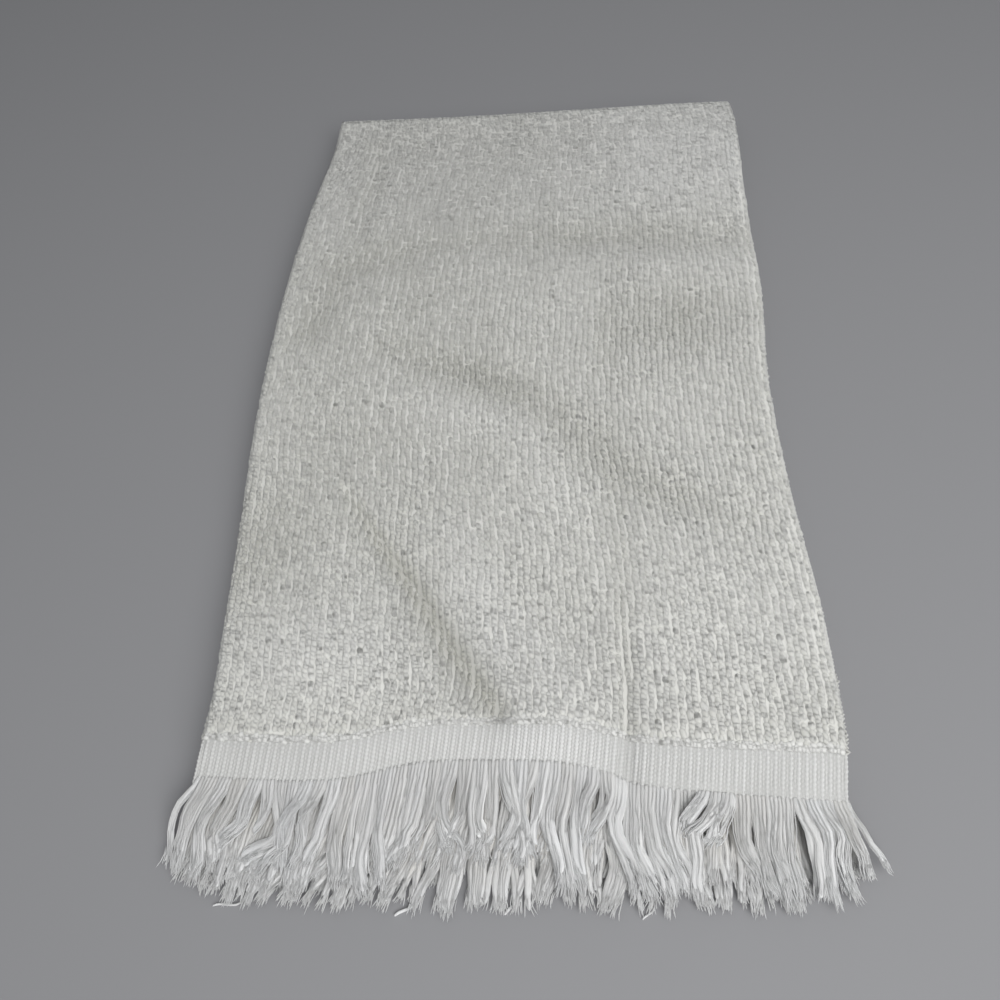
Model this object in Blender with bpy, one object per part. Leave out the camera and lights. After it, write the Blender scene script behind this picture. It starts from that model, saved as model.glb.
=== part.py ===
"""A cream terry hand towel with a fringe at both ends, folded in half along its length, then once across.

The packet lies flat, its two fringed ends together towards -Y and its plain fold towards +Y. From the
top down its four layers are outer, inner, inner, outer: the outer layer wraps round the left-hand fold
to become the inner one. The origin is the middle of the underside, which is flat.

Each piece is modelled flat, as it is cut, and then every one of its points is folded by the same bends.
A flat point is (a, b, c): a from the right-hand selvedge across the cloth, b along the cloth from the
end that finishes on top, and c through its thickness, positive towards the packet's outside.
"""

import math
import random

import bmesh
import bpy
from mathutils import Vector

MM = 0.001

# The cloth as it is cut, without its fringe.
CLOTH_WIDTH = 0.372
HEM_DEPTH = 0.014
TERRY_THICK = 0.0024
HEM_THICK = 0.0014
HEM_STEP = 0.0016

# The packet it is folded into. Pressed flat, its layers would lie LAYER_GAP apart; it is loose, so its
# top stands LOFT higher, and its hems, thinner than the terry, sag together again.
LAYERS = 4
LAYER_GAP = 0.0004
LOFT = 0.0030
HEM_SAG = 0.0046
PACKET_LENGTH = 0.315
FAR_AXIS_INSET = 0.002
LAYER_PITCH = TERRY_THICK + LAYER_GAP
OUTER_LEVEL = 1.5 * LAYER_PITCH
INNER_LEVEL = 0.5 * LAYER_PITCH
PACKET_HEIGHT = 2 * OUTER_LEVEL + TERRY_THICK
MIDDLE_HEIGHT = PACKET_HEIGHT / 2
SIDE_RADIUS = LAYER_PITCH / 2
SIDE_TURN = math.pi * SIDE_RADIUS
PANEL = (CLOTH_WIDTH - SIDE_TURN) / 2
NEAR_EDGE = -PACKET_LENGTH / 2
FAR_AXIS = -NEAR_EDGE - FAR_AXIS_INSET
RUN = FAR_AXIS - NEAR_EDGE
END_TO_END = 2 * RUN + math.pi

# The right-hand edge of the outer layer rolls down over the inner one.
EDGE_ROLL_REACH = 0.0065
EDGE_ROLL_DROP = 0.0020
INNER_INSET = 0.005

# Near the hems the layers have slid: the inner layer takes a shorter way round the far fold, so its hem
# lies INNER_LEAD beyond the outer one, and the lower end shows a little in front of the upper one and
# to its right.
INNER_LEAD = math.pi * (OUTER_LEVEL - INNER_LEVEL) / 2
LOWER_LEAD = 0.0015
LOWER_SLIP = 0.0015
SLIDE_REACH = 0.060

# Outline of the packet, in mm: distance from the near edge, left-hand fold, right-hand edge.
OUTLINE = (
    (0, -96.5, 95.0),
    (30, -95.7, 96.6),
    (60, -98.0, 96.0),
    (100, -100.8, 92.6),
    (150, -103.4, 90.8),
    (200, -103.4, 93.6),
    (250, -100.4, 93.0),
    (290, -95.8, 93.3),
    (313, -95.2, 92.0),
    (321, -95.0, 88.0),
)

# How far the top hem is drawn back from the near edge, in mm: place across, drawn back.
HEM_WAVE = (
    (-100, 0.0),
    (-55, 0.2),
    (-27, 6.2),
    (9, 7.2),
    (23, 5.9),
    (39, 2.0),
    (60, 0.8),
    (100, 0.0),
)

# Soft creases of the top, each along its own points, in mm: x, y, half width, height. y is the distance
# from the near edge, and a height below zero is a trough.
CREASES = (
    ((-60, 97, 8, -0.7), (-34, 66, 9, -1.9), (-21, 44, 9, -2.3), (-3, 20, 9, -2.1)),
    ((-24, 84, 10, 0.9), (-6, 52, 12, 2.2), (12, 20, 13, 2.2)),
    ((-55, 167, 9, -0.9), (-15, 149, 9, -1.4), (10, 139, 10, -1.0), (27, 108, 12, -0.5)),
    ((46, 109, 10, -0.6), (60, 96, 11, -1.0), (74, 84, 10, -0.5)),
    ((-78, 219, 15, -1.0), (3, 233, 17, -1.4), (90, 226, 16, -1.2)),
    ((33, 6, 7, -0.4), (30, 130, 7, -0.4), (33, 264, 7, -0.3)),
)

# Broad swells and hollows, in mm: x, y, half width, half length, height.
SWELLS = (
    (66, 292, 32, 24, 1.5),
    (-66, 282, 24, 26, -1.2),
    (60, 177, 24, 24, -1.1),
    (-84, 88, 18, 34, -1.0),
    (-74, 36, 24, 17, 1.2),
    (8, 6, 32, 18, 1.3),
    (60, 50, 40, 34, 0.6),
)

# Grid lines of the cloth, in mm, as runs of even steps: from, to (None is up to the fold), steps. They
# are closer at the rolled edge and where the top is creased.
COLUMN_RUNS = (
    (0, 6, 2),
    (10, 45, 3),
    (52.5, 159, 14),
    (168, None, 2),
)
INNER_FIRST_RUN = 1
HEM_ROWS = (0, 5, 9.5)
UPPER_ROW_RUNS = (
    (22, 112, 9),
    (125, 175, 4),
    (195, None, 5),
)
LOWER_ROW_RUNS = ((30, None, 8),)
FAR_TURN_STEPS = 6
SIDE_TURN_STEPS = 4
SMOOTH_ANGLE = math.radians(50)

# Fringe. Each end's backing is a strip parted from the hem, which holds the roots of the locks. A lock
# leaves its root level, then falls to the ones below it over FALL_REACH.
PART_GAP = 0.0004
STRIP_DEPTH = 0.0020
OUTER_LOCKS = 62
INNER_LOCKS = 36
LOCK_LENGTH = 0.0285
LOCK_SECTIONS = (0.30, 0.64)
SWEEP_CURVE = 1.15
LOCK_THICK = 0.0011
LOCK_FILL = (0.62, 0.74, 0.50)
REST_PITCH = 0.00145
FALL_START = 0.004
FALL_REACH = 0.018
LENGTH_SPREAD = 0.08
CLUMP_PITCH = 0.0135
CLUMP_SWAY = 0.0010
SEED = 11

# Which way the fringe is swept, in mm at the tips: root's place across, top layer, layers below.
SWEEP = (
    (-100, -7.5, -3),
    (-75, -11, -6),
    (-50, -13.5, -8),
    (-25, -14.5, -8),
    (-6, -9, -6),
    (14, -5, -3),
    (30, 3, 0),
    (50, 3, 2),
    (66, 6, 3),
    (80, 7, 4),
    (90, 6, 5),
    (98, 12, 7),
)

# Colours, from the object: name, red, green, blue, roughness.
FINISHES = (
    ("terry_cotton", 0.62, 0.61, 0.56, 0.95),
    ("fringe_yarn", 0.68, 0.68, 0.65, 0.85),
)


def clear_scene():
    for thing in list(bpy.data.objects):
        bpy.data.objects.remove(thing, do_unlink=True)


def ease(share):
    """0 to 1 with no corner at either end."""
    share = min(max(share, 0.0), 1.0)
    return share * share * (3 - 2 * share)


def read(table, column, at):
    """A column of a table at some place, on a smooth curve through its rows."""
    last = len(table) - 2
    row = max(i for i in range(last + 1) if i == 0 or table[i][0] <= at)
    left, right = table[row], table[row + 1]
    before, after = table[max(row - 1, 0)], table[min(row + 2, last + 1)]
    span = right[0] - left[0]
    t = min(max((at - left[0]) / span, 0.0), 1.0)
    slope_in = (right[column] - before[column]) / (right[0] - before[0]) * span
    slope_out = (after[column] - left[column]) / (after[0] - left[0]) * span
    return (
        (2 * t**3 - 3 * t**2 + 1) * left[column]
        + (t**3 - 2 * t**2 + t) * slope_in
        + (3 * t**2 - 2 * t**3) * right[column]
        + (t**3 - t**2) * slope_out
    )


def crease_height(points, across, along):
    """Height of one crease at a place, from the nearest point of its line."""
    nearest, height = math.inf, 0.0
    for start, end in zip(points, points[1:]):
        run_x, run_y = end[0] - start[0], end[1] - start[1]
        share = ((across - start[0]) * run_x + (along - start[1]) * run_y) / (run_x**2 + run_y**2)
        share = min(max(share, 0.0), 1.0)
        away = math.hypot(across - start[0] - share * run_x, along - start[1] - share * run_y)
        if away < nearest:
            nearest = away
            half_width = start[2] + (end[2] - start[2]) * share
            height = (start[3] + (end[3] - start[3]) * share) * math.exp(-((away / half_width) ** 2))
    return height


def relief(x, y):
    """Height of the creases and swells of the packet's top, in metres."""
    across, along = x / MM, (y - NEAR_EDGE) / MM
    height = sum(crease_height(points, across, along) for points in CREASES)
    for mid_x, mid_y, half_width, half_length, rise in SWELLS:
        away = math.hypot((across - mid_x) / half_width, (along - mid_y) / half_length)
        height += rise * math.exp(-(away**2))
    return height * MM


def layer_at(z):
    """0 to 3 through the layers, counted from the bottom, with a part of a step only in the gaps."""
    layer = min(int(z / LAYER_PITCH), LAYERS - 1)
    into_gap = max(z - layer * LAYER_PITCH - TERRY_THICK, 0) / LAYER_GAP
    return min(layer + into_gap, LAYERS - 1)


def settle(x, y, z, from_end):
    """The point raised by the packet's loft, and by the unevenness that only the upper layers have."""
    layer = layer_at(z)
    loft = LOFT - HEM_SAG * (1 - ease(from_end / HEM_DEPTH))
    z += loft * layer / (LAYERS - 1)
    z += relief(x, y) * max(layer - 1, 0) / (LAYERS - 2)
    return x, y, z


def lay(share, turn, level, b, lower):
    """A point of the packet.

    share is 0 at the right-hand edge and 1 where the side fold starts, turn is the angle round that
    fold, level is the height off the packet's middle before the side fold is turned, and b is the
    distance from the near edge, or past the far fold's axis the angle round it.
    """
    side_level = LAYER_PITCH
    angle = max(b - RUN, 0.0)
    if turn is None:
        height = level
    else:
        height = side_level + (level - side_level) * math.cos(turn)
    if angle > 0:
        y, z = FAR_AXIS + height * math.sin(angle), MIDDLE_HEIGHT + height * math.cos(angle)
    else:
        y, z = NEAR_EDGE + b, MIDDLE_HEIGHT + (-height if lower else height)
    along = (y - NEAR_EDGE) / MM
    fold_x = read(OUTLINE, 1, along) * MM + SIDE_RADIUS + TERRY_THICK / 2
    edge_x = read(OUTLINE, 2, along) * MM
    inner_width = CLOTH_WIDTH - SIDE_TURN - (edge_x - fold_x)
    inner_edge_x = min(fold_x + inner_width, edge_x - INNER_INSET)
    if turn is not None:
        x = fold_x - (level - side_level) * math.sin(turn)
    elif level > side_level:
        x = edge_x + (fold_x - edge_x) * share
    else:
        x = inner_edge_x + (fold_x - inner_edge_x) * share
    return x, y, z, height


def fold(a, b, c):
    """Where a point of the flat cloth ends up in the packet."""
    lower = b > RUN + math.pi
    if lower:
        b = END_TO_END - b
    from_end = max(b, 0.0)
    if a < PANEL:
        from_corner = min(from_end, max(RUN - b, 0.0))
        roll = EDGE_ROLL_DROP * ease(1 - a / EDGE_ROLL_REACH) * ease(from_corner / SLIDE_REACH)
        x, y, z, height = lay(a / PANEL, None, OUTER_LEVEL + c, b, lower)
        z -= roll * (z - MIDDLE_HEIGHT) / height
        height -= roll
    elif a > PANEL + SIDE_TURN:
        x, y, z, height = lay((CLOTH_WIDTH - a) / PANEL, None, INNER_LEVEL - c, b, lower)
    else:
        turn = (a - PANEL) / SIDE_TURN * math.pi
        x, y, z, height = lay(1, turn, LAYER_PITCH + SIDE_RADIUS + c, b, lower)
    slide = 1 - ease((y - NEAR_EDGE) / SLIDE_REACH)
    lead = INNER_LEAD * (OUTER_LEVEL - height) / (OUTER_LEVEL - INNER_LEVEL)
    if lower:
        y -= (lead + LOWER_LEAD) * slide
        x += LOWER_SLIP * slide
    else:
        y += (read(HEM_WAVE, 1, x / MM) * MM - lead) * slide
    return settle(x, y, z, from_end)


def cloth_thick(b):
    """Thickness of the cloth, thinner along the hem at each end."""
    from_end = min(b, END_TO_END - b)
    return HEM_THICK + (TERRY_THICK - HEM_THICK) * ease((from_end - HEM_DEPTH) / HEM_STEP + 0.5)


def flat_slab(columns, rows):
    """A closed flat slab with a grid line at each column and row, and its points' flat places."""
    model = bmesh.new()
    bmesh.ops.create_grid(model, x_segments=len(columns) - 1, y_segments=len(rows) - 1, size=0.5)
    last_column, last_row = len(columns) - 1, len(rows) - 1
    for vertex in model.verts:
        column = round((vertex.co.x + 0.5) * last_column)
        row = round((vertex.co.y + 0.5) * last_row)
        vertex.co = (columns[column], rows[row], 0)
    grid_points = set(model.verts)
    bmesh.ops.solidify(model, geom=model.faces[:], thickness=1.0)
    flat = {}
    for vertex in model.verts:
        a, b = vertex.co.xy
        half_thick = cloth_thick(b) / 2
        flat[vertex] = (a, b, half_thick if vertex in grid_points else -half_thick)
    return model, flat


def spread(start, end, steps):
    return [start + (end - start) * i / steps for i in range(steps + 1)]


def grid_lines(runs, fold_line):
    """Grid lines from a table of runs, the last of which may go on to the fold."""
    lines = []
    for start, stop, steps in runs:
        lines += spread(start * MM, fold_line if stop is None else stop * MM, steps)
    return lines


def cloth_columns():
    """Grid lines across the cloth: the outer panel, the side fold and the inner panel."""
    turn = spread(PANEL, PANEL + SIDE_TURN, SIDE_TURN_STEPS)[1:]
    inner = [0.0] + grid_lines(COLUMN_RUNS[INNER_FIRST_RUN:], PANEL)[:-1]
    return grid_lines(COLUMN_RUNS, PANEL) + turn + [CLOTH_WIDTH - a for a in reversed(inner)]


def cloth_rows():
    """Grid lines along the cloth. Between the two runs b counts the angle round the far fold."""
    hem = [row * MM for row in HEM_ROWS] + [HEM_DEPTH - HEM_STEP / 2, HEM_DEPTH + HEM_STEP / 2]
    turn = spread(RUN, RUN + math.pi, FAR_TURN_STEPS)[1:]
    lower = hem + grid_lines(LOWER_ROW_RUNS, RUN)[:-1]
    return hem + grid_lines(UPPER_ROW_RUNS, RUN) + turn + [END_TO_END - b for b in reversed(lower)]


def finish(name):
    """The material of one piece, from the table of finishes."""
    _, red, green, blue, rough = next(row for row in FINISHES if row[0] == name)
    material = bpy.data.materials.new(name)
    material.use_nodes = True
    shader = material.node_tree.nodes["Principled BSDF"]
    shader.inputs["Base Color"].default_value = (red, green, blue, 1)
    shader.inputs["Roughness"].default_value = rough
    shader.inputs["Metallic"].default_value = 0.0
    material.diffuse_color = (red, green, blue, 1)
    return material


def add_piece(name, model, material, collection):
    """The finished mesh as a named object, facing out."""
    bmesh.ops.recalc_face_normals(model, faces=model.faces[:])
    mesh = bpy.data.meshes.new(name)
    model.to_mesh(mesh)
    model.free()
    mesh.shade_smooth()
    mesh.set_sharp_from_angle(angle=SMOOTH_ANGLE)
    mesh.materials.append(material)
    piece = bpy.data.objects.new(name, mesh)
    collection.objects.link(piece)
    return piece


def make_cloth(collection):
    """The towel itself: one sheet with its two hems, folded."""
    model, flat = flat_slab(cloth_columns(), cloth_rows())
    for vertex, place in flat.items():
        vertex.co = fold(*place)
    return add_piece("towel_cloth", model, finish("terry_cotton"), collection)


def lock_path(root, outer, upper, chance):
    """Middle of one lock at its root and at each of its sections, down to its tip on the surface."""
    layers_below = (3 if outer else 2) if upper else (0 if outer else 1)
    column = 1 if outer and upper else 2
    phase = 2 * math.pi * (root.x / CLUMP_PITCH + layers_below / LAYERS)
    sweep = read(SWEEP, column, root.x / MM) * MM + CLUMP_SWAY * math.sin(phase)
    forward = math.sqrt(LOCK_LENGTH**2 - sweep**2)
    tip_share = 1 + chance.uniform(-1, 1) * LENGTH_SPREAD
    rest = layers_below * REST_PITCH + LOCK_THICK / 2
    path = [root]
    for share in (*LOCK_SECTIONS, tip_share):
        x = root.x + sweep * share**SWEEP_CURVE
        y = root.y - forward * share
        fallen = ease((NEAR_EDGE - y - FALL_START) / FALL_REACH)
        path.append(Vector((x, y, root.z + (rest - root.z) * fallen)))
    return path


def sideways(path, section):
    """Level direction square to a path where it reaches a section, towards +X."""
    run = path[section] - path[section - 1]
    return Vector((-run.y, run.x, 0)).normalized()


def grow_lock(model, face, path, beside):
    """Draws one lock out of its root face, a section at a time, clear of the paths beside it."""
    for section, fill in enumerate(LOCK_FILL, start=1):
        middle, before = path[section], path[section - 1]
        across = sideways(path, section)
        room = min(abs((other[section] - middle).dot(across)) for other in beside)
        level = face.calc_center_median().z
        face = bmesh.ops.extrude_discrete_faces(model, faces=[face])["faces"][0]
        for vertex in face.verts:
            side = math.copysign(room * fill / 2, vertex.co.x - before.x)
            up = math.copysign(LOCK_THICK / 2, vertex.co.z - level)
            vertex.co = middle + across * side + Vector((0, 0, up))


def root_faces(model, flat, front):
    """Faces of a strip's front that locks grow from, each with its place across the cloth."""
    found = []
    for face in model.faces:
        places = [flat[vertex] for vertex in face.verts]
        middle_a = sum(a for a, _, _ in places) / len(places)
        at_front = all(abs(b - front) < PART_GAP / 2 for _, b, _ in places)
        on_turn = PANEL < middle_a < PANEL + SIDE_TURN
        if at_front and not on_turn:
            found.append((middle_a, face))
    return sorted(found, key=lambda pair: pair[0])


def make_fringe(name, upper, collection, chance):
    """One end's fringe: a strip along the hem's edge, and locks drawn from its front."""
    outer_lines = spread(0.0, PANEL, OUTER_LOCKS)
    turn_lines = spread(PANEL, PANEL + SIDE_TURN, SIDE_TURN_STEPS)[1:]
    inner_lines = spread(PANEL + SIDE_TURN, CLOTH_WIDTH, INNER_LOCKS)[1:]
    front, back = -PART_GAP - STRIP_DEPTH, -PART_GAP
    if not upper:
        front, back = END_TO_END - front, END_TO_END - back
    model, flat = flat_slab(outer_lines + turn_lines + inner_lines, sorted((front, back)))
    roots = root_faces(model, flat, front)
    for vertex, place in flat.items():
        vertex.co = fold(*place)
    for outer in (True, False):
        faces = [face for middle_a, face in roots if (middle_a < PANEL) == outer]
        paths = [lock_path(face.calc_center_median(), outer, upper, chance) for face in faces]
        for i, face in enumerate(faces):
            beside = paths[max(i - 1, 0) : i] + paths[i + 1 : i + 2]
            grow_lock(model, face, paths[i], beside)
    return add_piece(name, model, finish("fringe_yarn"), collection)


def main():
    clear_scene()
    collection = bpy.data.collections.new("hand_towel")
    bpy.context.scene.collection.children.link(collection)
    chance = random.Random(SEED)
    make_cloth(collection)
    make_fringe("fringe_upper_end", True, collection, chance)
    make_fringe("fringe_lower_end", False, collection, chance)


main()
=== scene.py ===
# %% [markdown]
# # A folded terry hand towel
#
# One length of cream cotton terry, folded in half along its length and then once across. It has a flat
# woven band at each end, and beyond the bands the warp threads are left loose as a fringe. The solids of
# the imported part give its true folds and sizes. This script makes what the eye sees: the ground cloth,
# the loops of the pile, the ribs of the bands and every thread of the fringe.

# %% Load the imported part
import math

import bpy
import numpy as np
from mathutils import Matrix, Vector


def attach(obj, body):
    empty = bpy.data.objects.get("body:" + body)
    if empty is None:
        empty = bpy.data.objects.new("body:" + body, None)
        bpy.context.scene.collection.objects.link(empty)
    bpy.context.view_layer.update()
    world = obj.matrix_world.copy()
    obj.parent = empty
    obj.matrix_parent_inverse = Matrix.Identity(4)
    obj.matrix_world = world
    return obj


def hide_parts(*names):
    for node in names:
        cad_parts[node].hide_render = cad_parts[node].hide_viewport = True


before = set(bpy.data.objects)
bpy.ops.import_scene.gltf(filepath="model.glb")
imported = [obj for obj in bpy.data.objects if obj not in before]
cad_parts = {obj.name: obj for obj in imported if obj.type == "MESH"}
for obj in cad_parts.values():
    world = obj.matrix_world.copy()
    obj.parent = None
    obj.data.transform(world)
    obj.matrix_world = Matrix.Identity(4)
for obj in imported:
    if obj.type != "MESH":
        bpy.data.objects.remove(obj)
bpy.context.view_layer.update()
print("solids:", sorted(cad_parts))

# %% [markdown]
# ## Helpers for soft shapes
#
# Cloth has no corners, so nearly every measure here is read from a short table of sizes with a smooth
# curve drawn through its rows. Each helper takes whole numpy arrays, because the pile alone has tens of
# thousands of loops and Python would be slow one loop at a time.

# %% Curves through tables
MM = 0.001


def ease(share):
    """0 to 1 with no corner at either end."""
    share = np.clip(share, 0.0, 1.0)
    return share * share * (3 - 2 * share)


def read(table, column, at):
    """A column of a table at some places, on a smooth curve through its rows."""
    rows = np.array(table, float)
    places, values = rows[:, 0], rows[:, column]
    last = len(rows) - 1
    row = np.clip(np.searchsorted(places, at, side="right") - 1, 0, last - 1)
    before, after = np.maximum(row - 1, 0), np.minimum(row + 2, last)
    span = places[row + 1] - places[row]
    t = np.clip((at - places[row]) / span, 0.0, 1.0)
    slope_in = (values[row + 1] - values[before]) / (places[row + 1] - places[before]) * span
    slope_out = (values[after] - values[row]) / (places[after] - places[row]) * span
    return (
        (2 * t**3 - 3 * t**2 + 1) * values[row]
        + (t**3 - 2 * t**2 + t) * slope_in
        + (3 * t**2 - 2 * t**3) * values[row + 1]
        + (t**3 - t**2) * slope_out
    )


def unit(vectors):
    """Vectors of length one in the same directions."""
    return vectors / np.maximum(np.linalg.norm(vectors, axis=-1, keepdims=True), 1e-12)


# %% Slow, even wandering
def wander(x, y, scale, seed, waves=9):
    """A smooth field of about -1 to 1 that changes over the given distance, from a few plane waves."""
    chance = np.random.default_rng(seed)
    total = np.zeros(np.broadcast(x, y).shape)
    for heading, phase, stretch in chance.random((waves, 3)) * (2 * math.pi, 2 * math.pi, 1):
        turn = 2 * math.pi / (scale * (0.6 + 0.9 * stretch))
        total += np.sin((x * math.cos(heading) + y * math.sin(heading)) * turn + phase)
    return total / math.sqrt(waves / 2) / 1.6


# %% [markdown]
# ## How the cloth is folded
#
# A towel is easiest to describe flat: `a` runs across it from the right-hand selvedge, `b` along it from
# the end that finishes on top, and `c` through its thickness. One function then folds any flat point into
# the packet. The ground cloth, the loops and the bands all go through the same function, so they can
# never drift apart. The sizes are the part's own, and so are the creases, placed one by one.

# %% Sizes of the cloth and of the packet
CLOTH_WIDTH = 0.372
HEM_DEPTH = 0.014
TERRY_THICK = 0.0024
HEM_THICK = 0.0014
LAYERS = 4
LAYER_GAP = 0.0004
LOFT = 0.0030
HEM_SAG = 0.0046
PACKET_LENGTH = 0.315
FAR_AXIS_INSET = 0.002
LAYER_PITCH = TERRY_THICK + LAYER_GAP
OUTER_LEVEL = 1.5 * LAYER_PITCH
INNER_LEVEL = 0.5 * LAYER_PITCH
MIDDLE_HEIGHT = OUTER_LEVEL + TERRY_THICK / 2
SIDE_RADIUS = LAYER_PITCH / 2
SIDE_TURN = math.pi * SIDE_RADIUS
PANEL = (CLOTH_WIDTH - SIDE_TURN) / 2
NEAR_EDGE = -PACKET_LENGTH / 2
FAR_AXIS = -NEAR_EDGE - FAR_AXIS_INSET
RUN = FAR_AXIS - NEAR_EDGE
END_TO_END = 2 * RUN + math.pi
EDGE_ROLL_REACH = 0.0065
EDGE_ROLL_DROP = 0.0020
INNER_INSET = 0.005
INNER_LEAD = math.pi * (OUTER_LEVEL - INNER_LEVEL) / 2
LOWER_LEAD = 0.0015
LOWER_SLIP = 0.0015
SLIDE_REACH = 0.060

print(f"one panel is {PANEL / MM:.1f} mm wide and one run {RUN / MM:.1f} mm long")

# %% Outline of the packet
# In mm: distance from the near edge, left-hand fold, right-hand edge.
OUTLINE = (
    (0, -99.4, 95.6),
    (14, -96.6, 96.1),
    (30, -95.7, 96.6),
    (60, -98.0, 96.0),
    (100, -100.8, 92.6),
    (150, -103.4, 90.8),
    (200, -103.4, 93.6),
    (250, -100.4, 93.0),
    (290, -95.8, 93.3),
    (313, -95.2, 92.0),
    (321, -95.0, 88.0),
)

# How far the top hem is drawn back from the near edge, in mm: place across, drawn back.
HEM_WAVE = (
    (-100, 0.0),
    (-55, 0.2),
    (-27, 6.2),
    (9, 7.2),
    (23, 5.9),
    (39, 2.0),
    (60, 0.8),
    (100, 0.0),
)

widths = [right - left for along, left, right in OUTLINE if along * MM < PACKET_LENGTH]
print(f"the packet is {min(widths):.0f} to {max(widths):.0f} mm wide")

# %% [markdown]
# ## Creases and swells
#
# A towel that has been folded and put down is never flat on top. Its creases follow lines that wander, and
# between them it swells. A cloth simulation would give creases, but not these ones. So each crease is a
# line of points with a width and a height at each, and each swell is one soft bump. Both are added to the
# height of the layers, most on the top one. They also darken the colour in the troughs and lighten it on
# the swells, in step with the height: painted shade and painted light.

# %% Creases and swells, one by one
# Creases along their own points, in mm: x, y from the near edge, half width, height (below 0 a trough).
CREASES = (
    ((-60, 97, 6, -0.5), (-36, 66, 7, -1.3), (-22, 44, 8, -1.8), (-6, 24, 8, -1.2)),
    (
        (-63, 103, 2.2, -1.3),
        (-49, 83, 2.6, -2.9),
        (-36, 67, 2.8, -3.5),
        (-22, 46, 3.2, -3.5),
        (-5, 25, 3.6, -2.5),
    ),
    ((-24, 84, 10, 0.9), (-6, 52, 12, 2.0), (12, 20, 13, 2.0)),
    ((-55, 168, 8, -0.8), (-18, 154, 8, -2.2), (8, 141, 9, -1.8), (28, 118, 12, -1.7), (46, 104, 11, -1.0)),
    ((-58, 148, 9, 0.5), (-20, 136, 9, 1.2), (0, 124, 9, 1.1), (16, 100, 11, 0.7)),
    ((40, 108, 8, -0.6), (56, 98, 7, -1.4), (74, 88, 8, -0.8)),
    ((-90, 178, 9, -1.6), (-80, 214, 10, -1.6), (-40, 228, 9, -1.2), (20, 229, 9, -1.3)),
    ((20, 229, 9, -1.3), (48, 229, 11, -2.6), (92, 226, 10, -1.2)),
    ((-74, 292, 6, -1.0), (-73, 264, 6, -1.3), (-78, 236, 7, -0.6)),
    ((34, 0, 3, -1.7), (34, 40, 3, -1.4), (34, 80, 4, -0.8), (31, 136, 5, -0.5)),
    ((32, 150, 6, -0.6), (33, 264, 7, -0.3)),
)

# Broad swells and hollows, in mm: x, y, half width, half length, height.
SWELLS = (
    (70, 275, 36, 34, 2.2),
    (-40, 300, 56, 24, -1.3),
    (62, 182, 20, 20, -2.2),
    (38, 176, 12, 20, -0.8),
    (66, 208, 22, 10, 0.9),
    (-92, 82, 20, 30, -1.5),
    (-60, 42, 34, 18, 1.8),
    (8, 6, 32, 18, 0.9),
    (66, 52, 36, 36, 1.2),
)
print("creases:", len(CREASES), "swells:", len(SWELLS))


# %% Height of the creases and swells
def crease_height(points, across, along):
    """Height of one crease, from the nearest point of its line."""
    nearest = np.full(across.shape, np.inf)
    height = np.zeros(across.shape)
    for start, end in zip(points, points[1:]):
        run_x, run_y = end[0] - start[0], end[1] - start[1]
        share = ((across - start[0]) * run_x + (along - start[1]) * run_y) / (run_x**2 + run_y**2)
        share = np.clip(share, 0.0, 1.0)
        away = np.hypot(across - start[0] - share * run_x, along - start[1] - share * run_y)
        half_width = start[2] + (end[2] - start[2]) * share
        level = (start[3] + (end[3] - start[3]) * share) * np.exp(-((away / half_width) ** 2))
        height = np.where(away < nearest, level, height)
        nearest = np.minimum(away, nearest)
    return height


def relief(x, y):
    """Height of the creases and swells of the packet's top, in metres."""
    across, along = x / MM, (y - NEAR_EDGE) / MM
    height = sum(crease_height(points, across, along) for points in CREASES)
    for mid_x, mid_y, half_width, half_length, rise in SWELLS:
        away = np.hypot((across - mid_x) / half_width, (along - mid_y) / half_length)
        height = height + rise * np.exp(-(away**2))
    return height * MM


# %% Painted shade of the creases and of one patch of pile
# Painted shade in a trough and painted light on a swell, in step with its height: this much for each mm.
RELIEF_PAINTED_SHADING = 0.15

# A patch of painted shade on the pile, in mm from the packet's middle: x, y, half width, half
# length, and how much darker.
PAINTED_SHADE_PATCH = (-55, 28, 60, 85, -0.2)


def painted_relief_shading(x, y):
    """Painted shade and painted light: how much darker the colour is made in the troughs and lighter on the
    swells.
    """
    return np.clip(RELIEF_PAINTED_SHADING * relief(x, y) / MM, -0.6, 0.25)


def painted_shade_patch(x, y):
    """Painted shade: how much darker the pile's colour is made in one broad patch."""
    mid_x, mid_y, half_width, half_length, tone = PAINTED_SHADE_PATCH
    away = np.hypot((x / MM - mid_x) / half_width, (y / MM - mid_y) / half_length)
    return tone * np.exp(-(away**2))


# %% From the flat cloth to the packet
def settle(x, y, z, from_end):
    """Raises a point by the packet's loft, and by the unevenness that only the upper layers have."""
    layer = np.clip(np.floor(z / LAYER_PITCH), 0, LAYERS - 1)
    into_gap = np.maximum(z - layer * LAYER_PITCH - TERRY_THICK, 0) / LAYER_GAP
    layer = np.minimum(layer + into_gap, LAYERS - 1)
    loft = LOFT - HEM_SAG * (1 - ease(from_end / HEM_DEPTH))
    z = z + loft * layer / (LAYERS - 1) + relief(x, y) * np.maximum(layer - 1, 0) / (LAYERS - 2)
    return np.stack([x, y, z], axis=-1)


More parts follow.
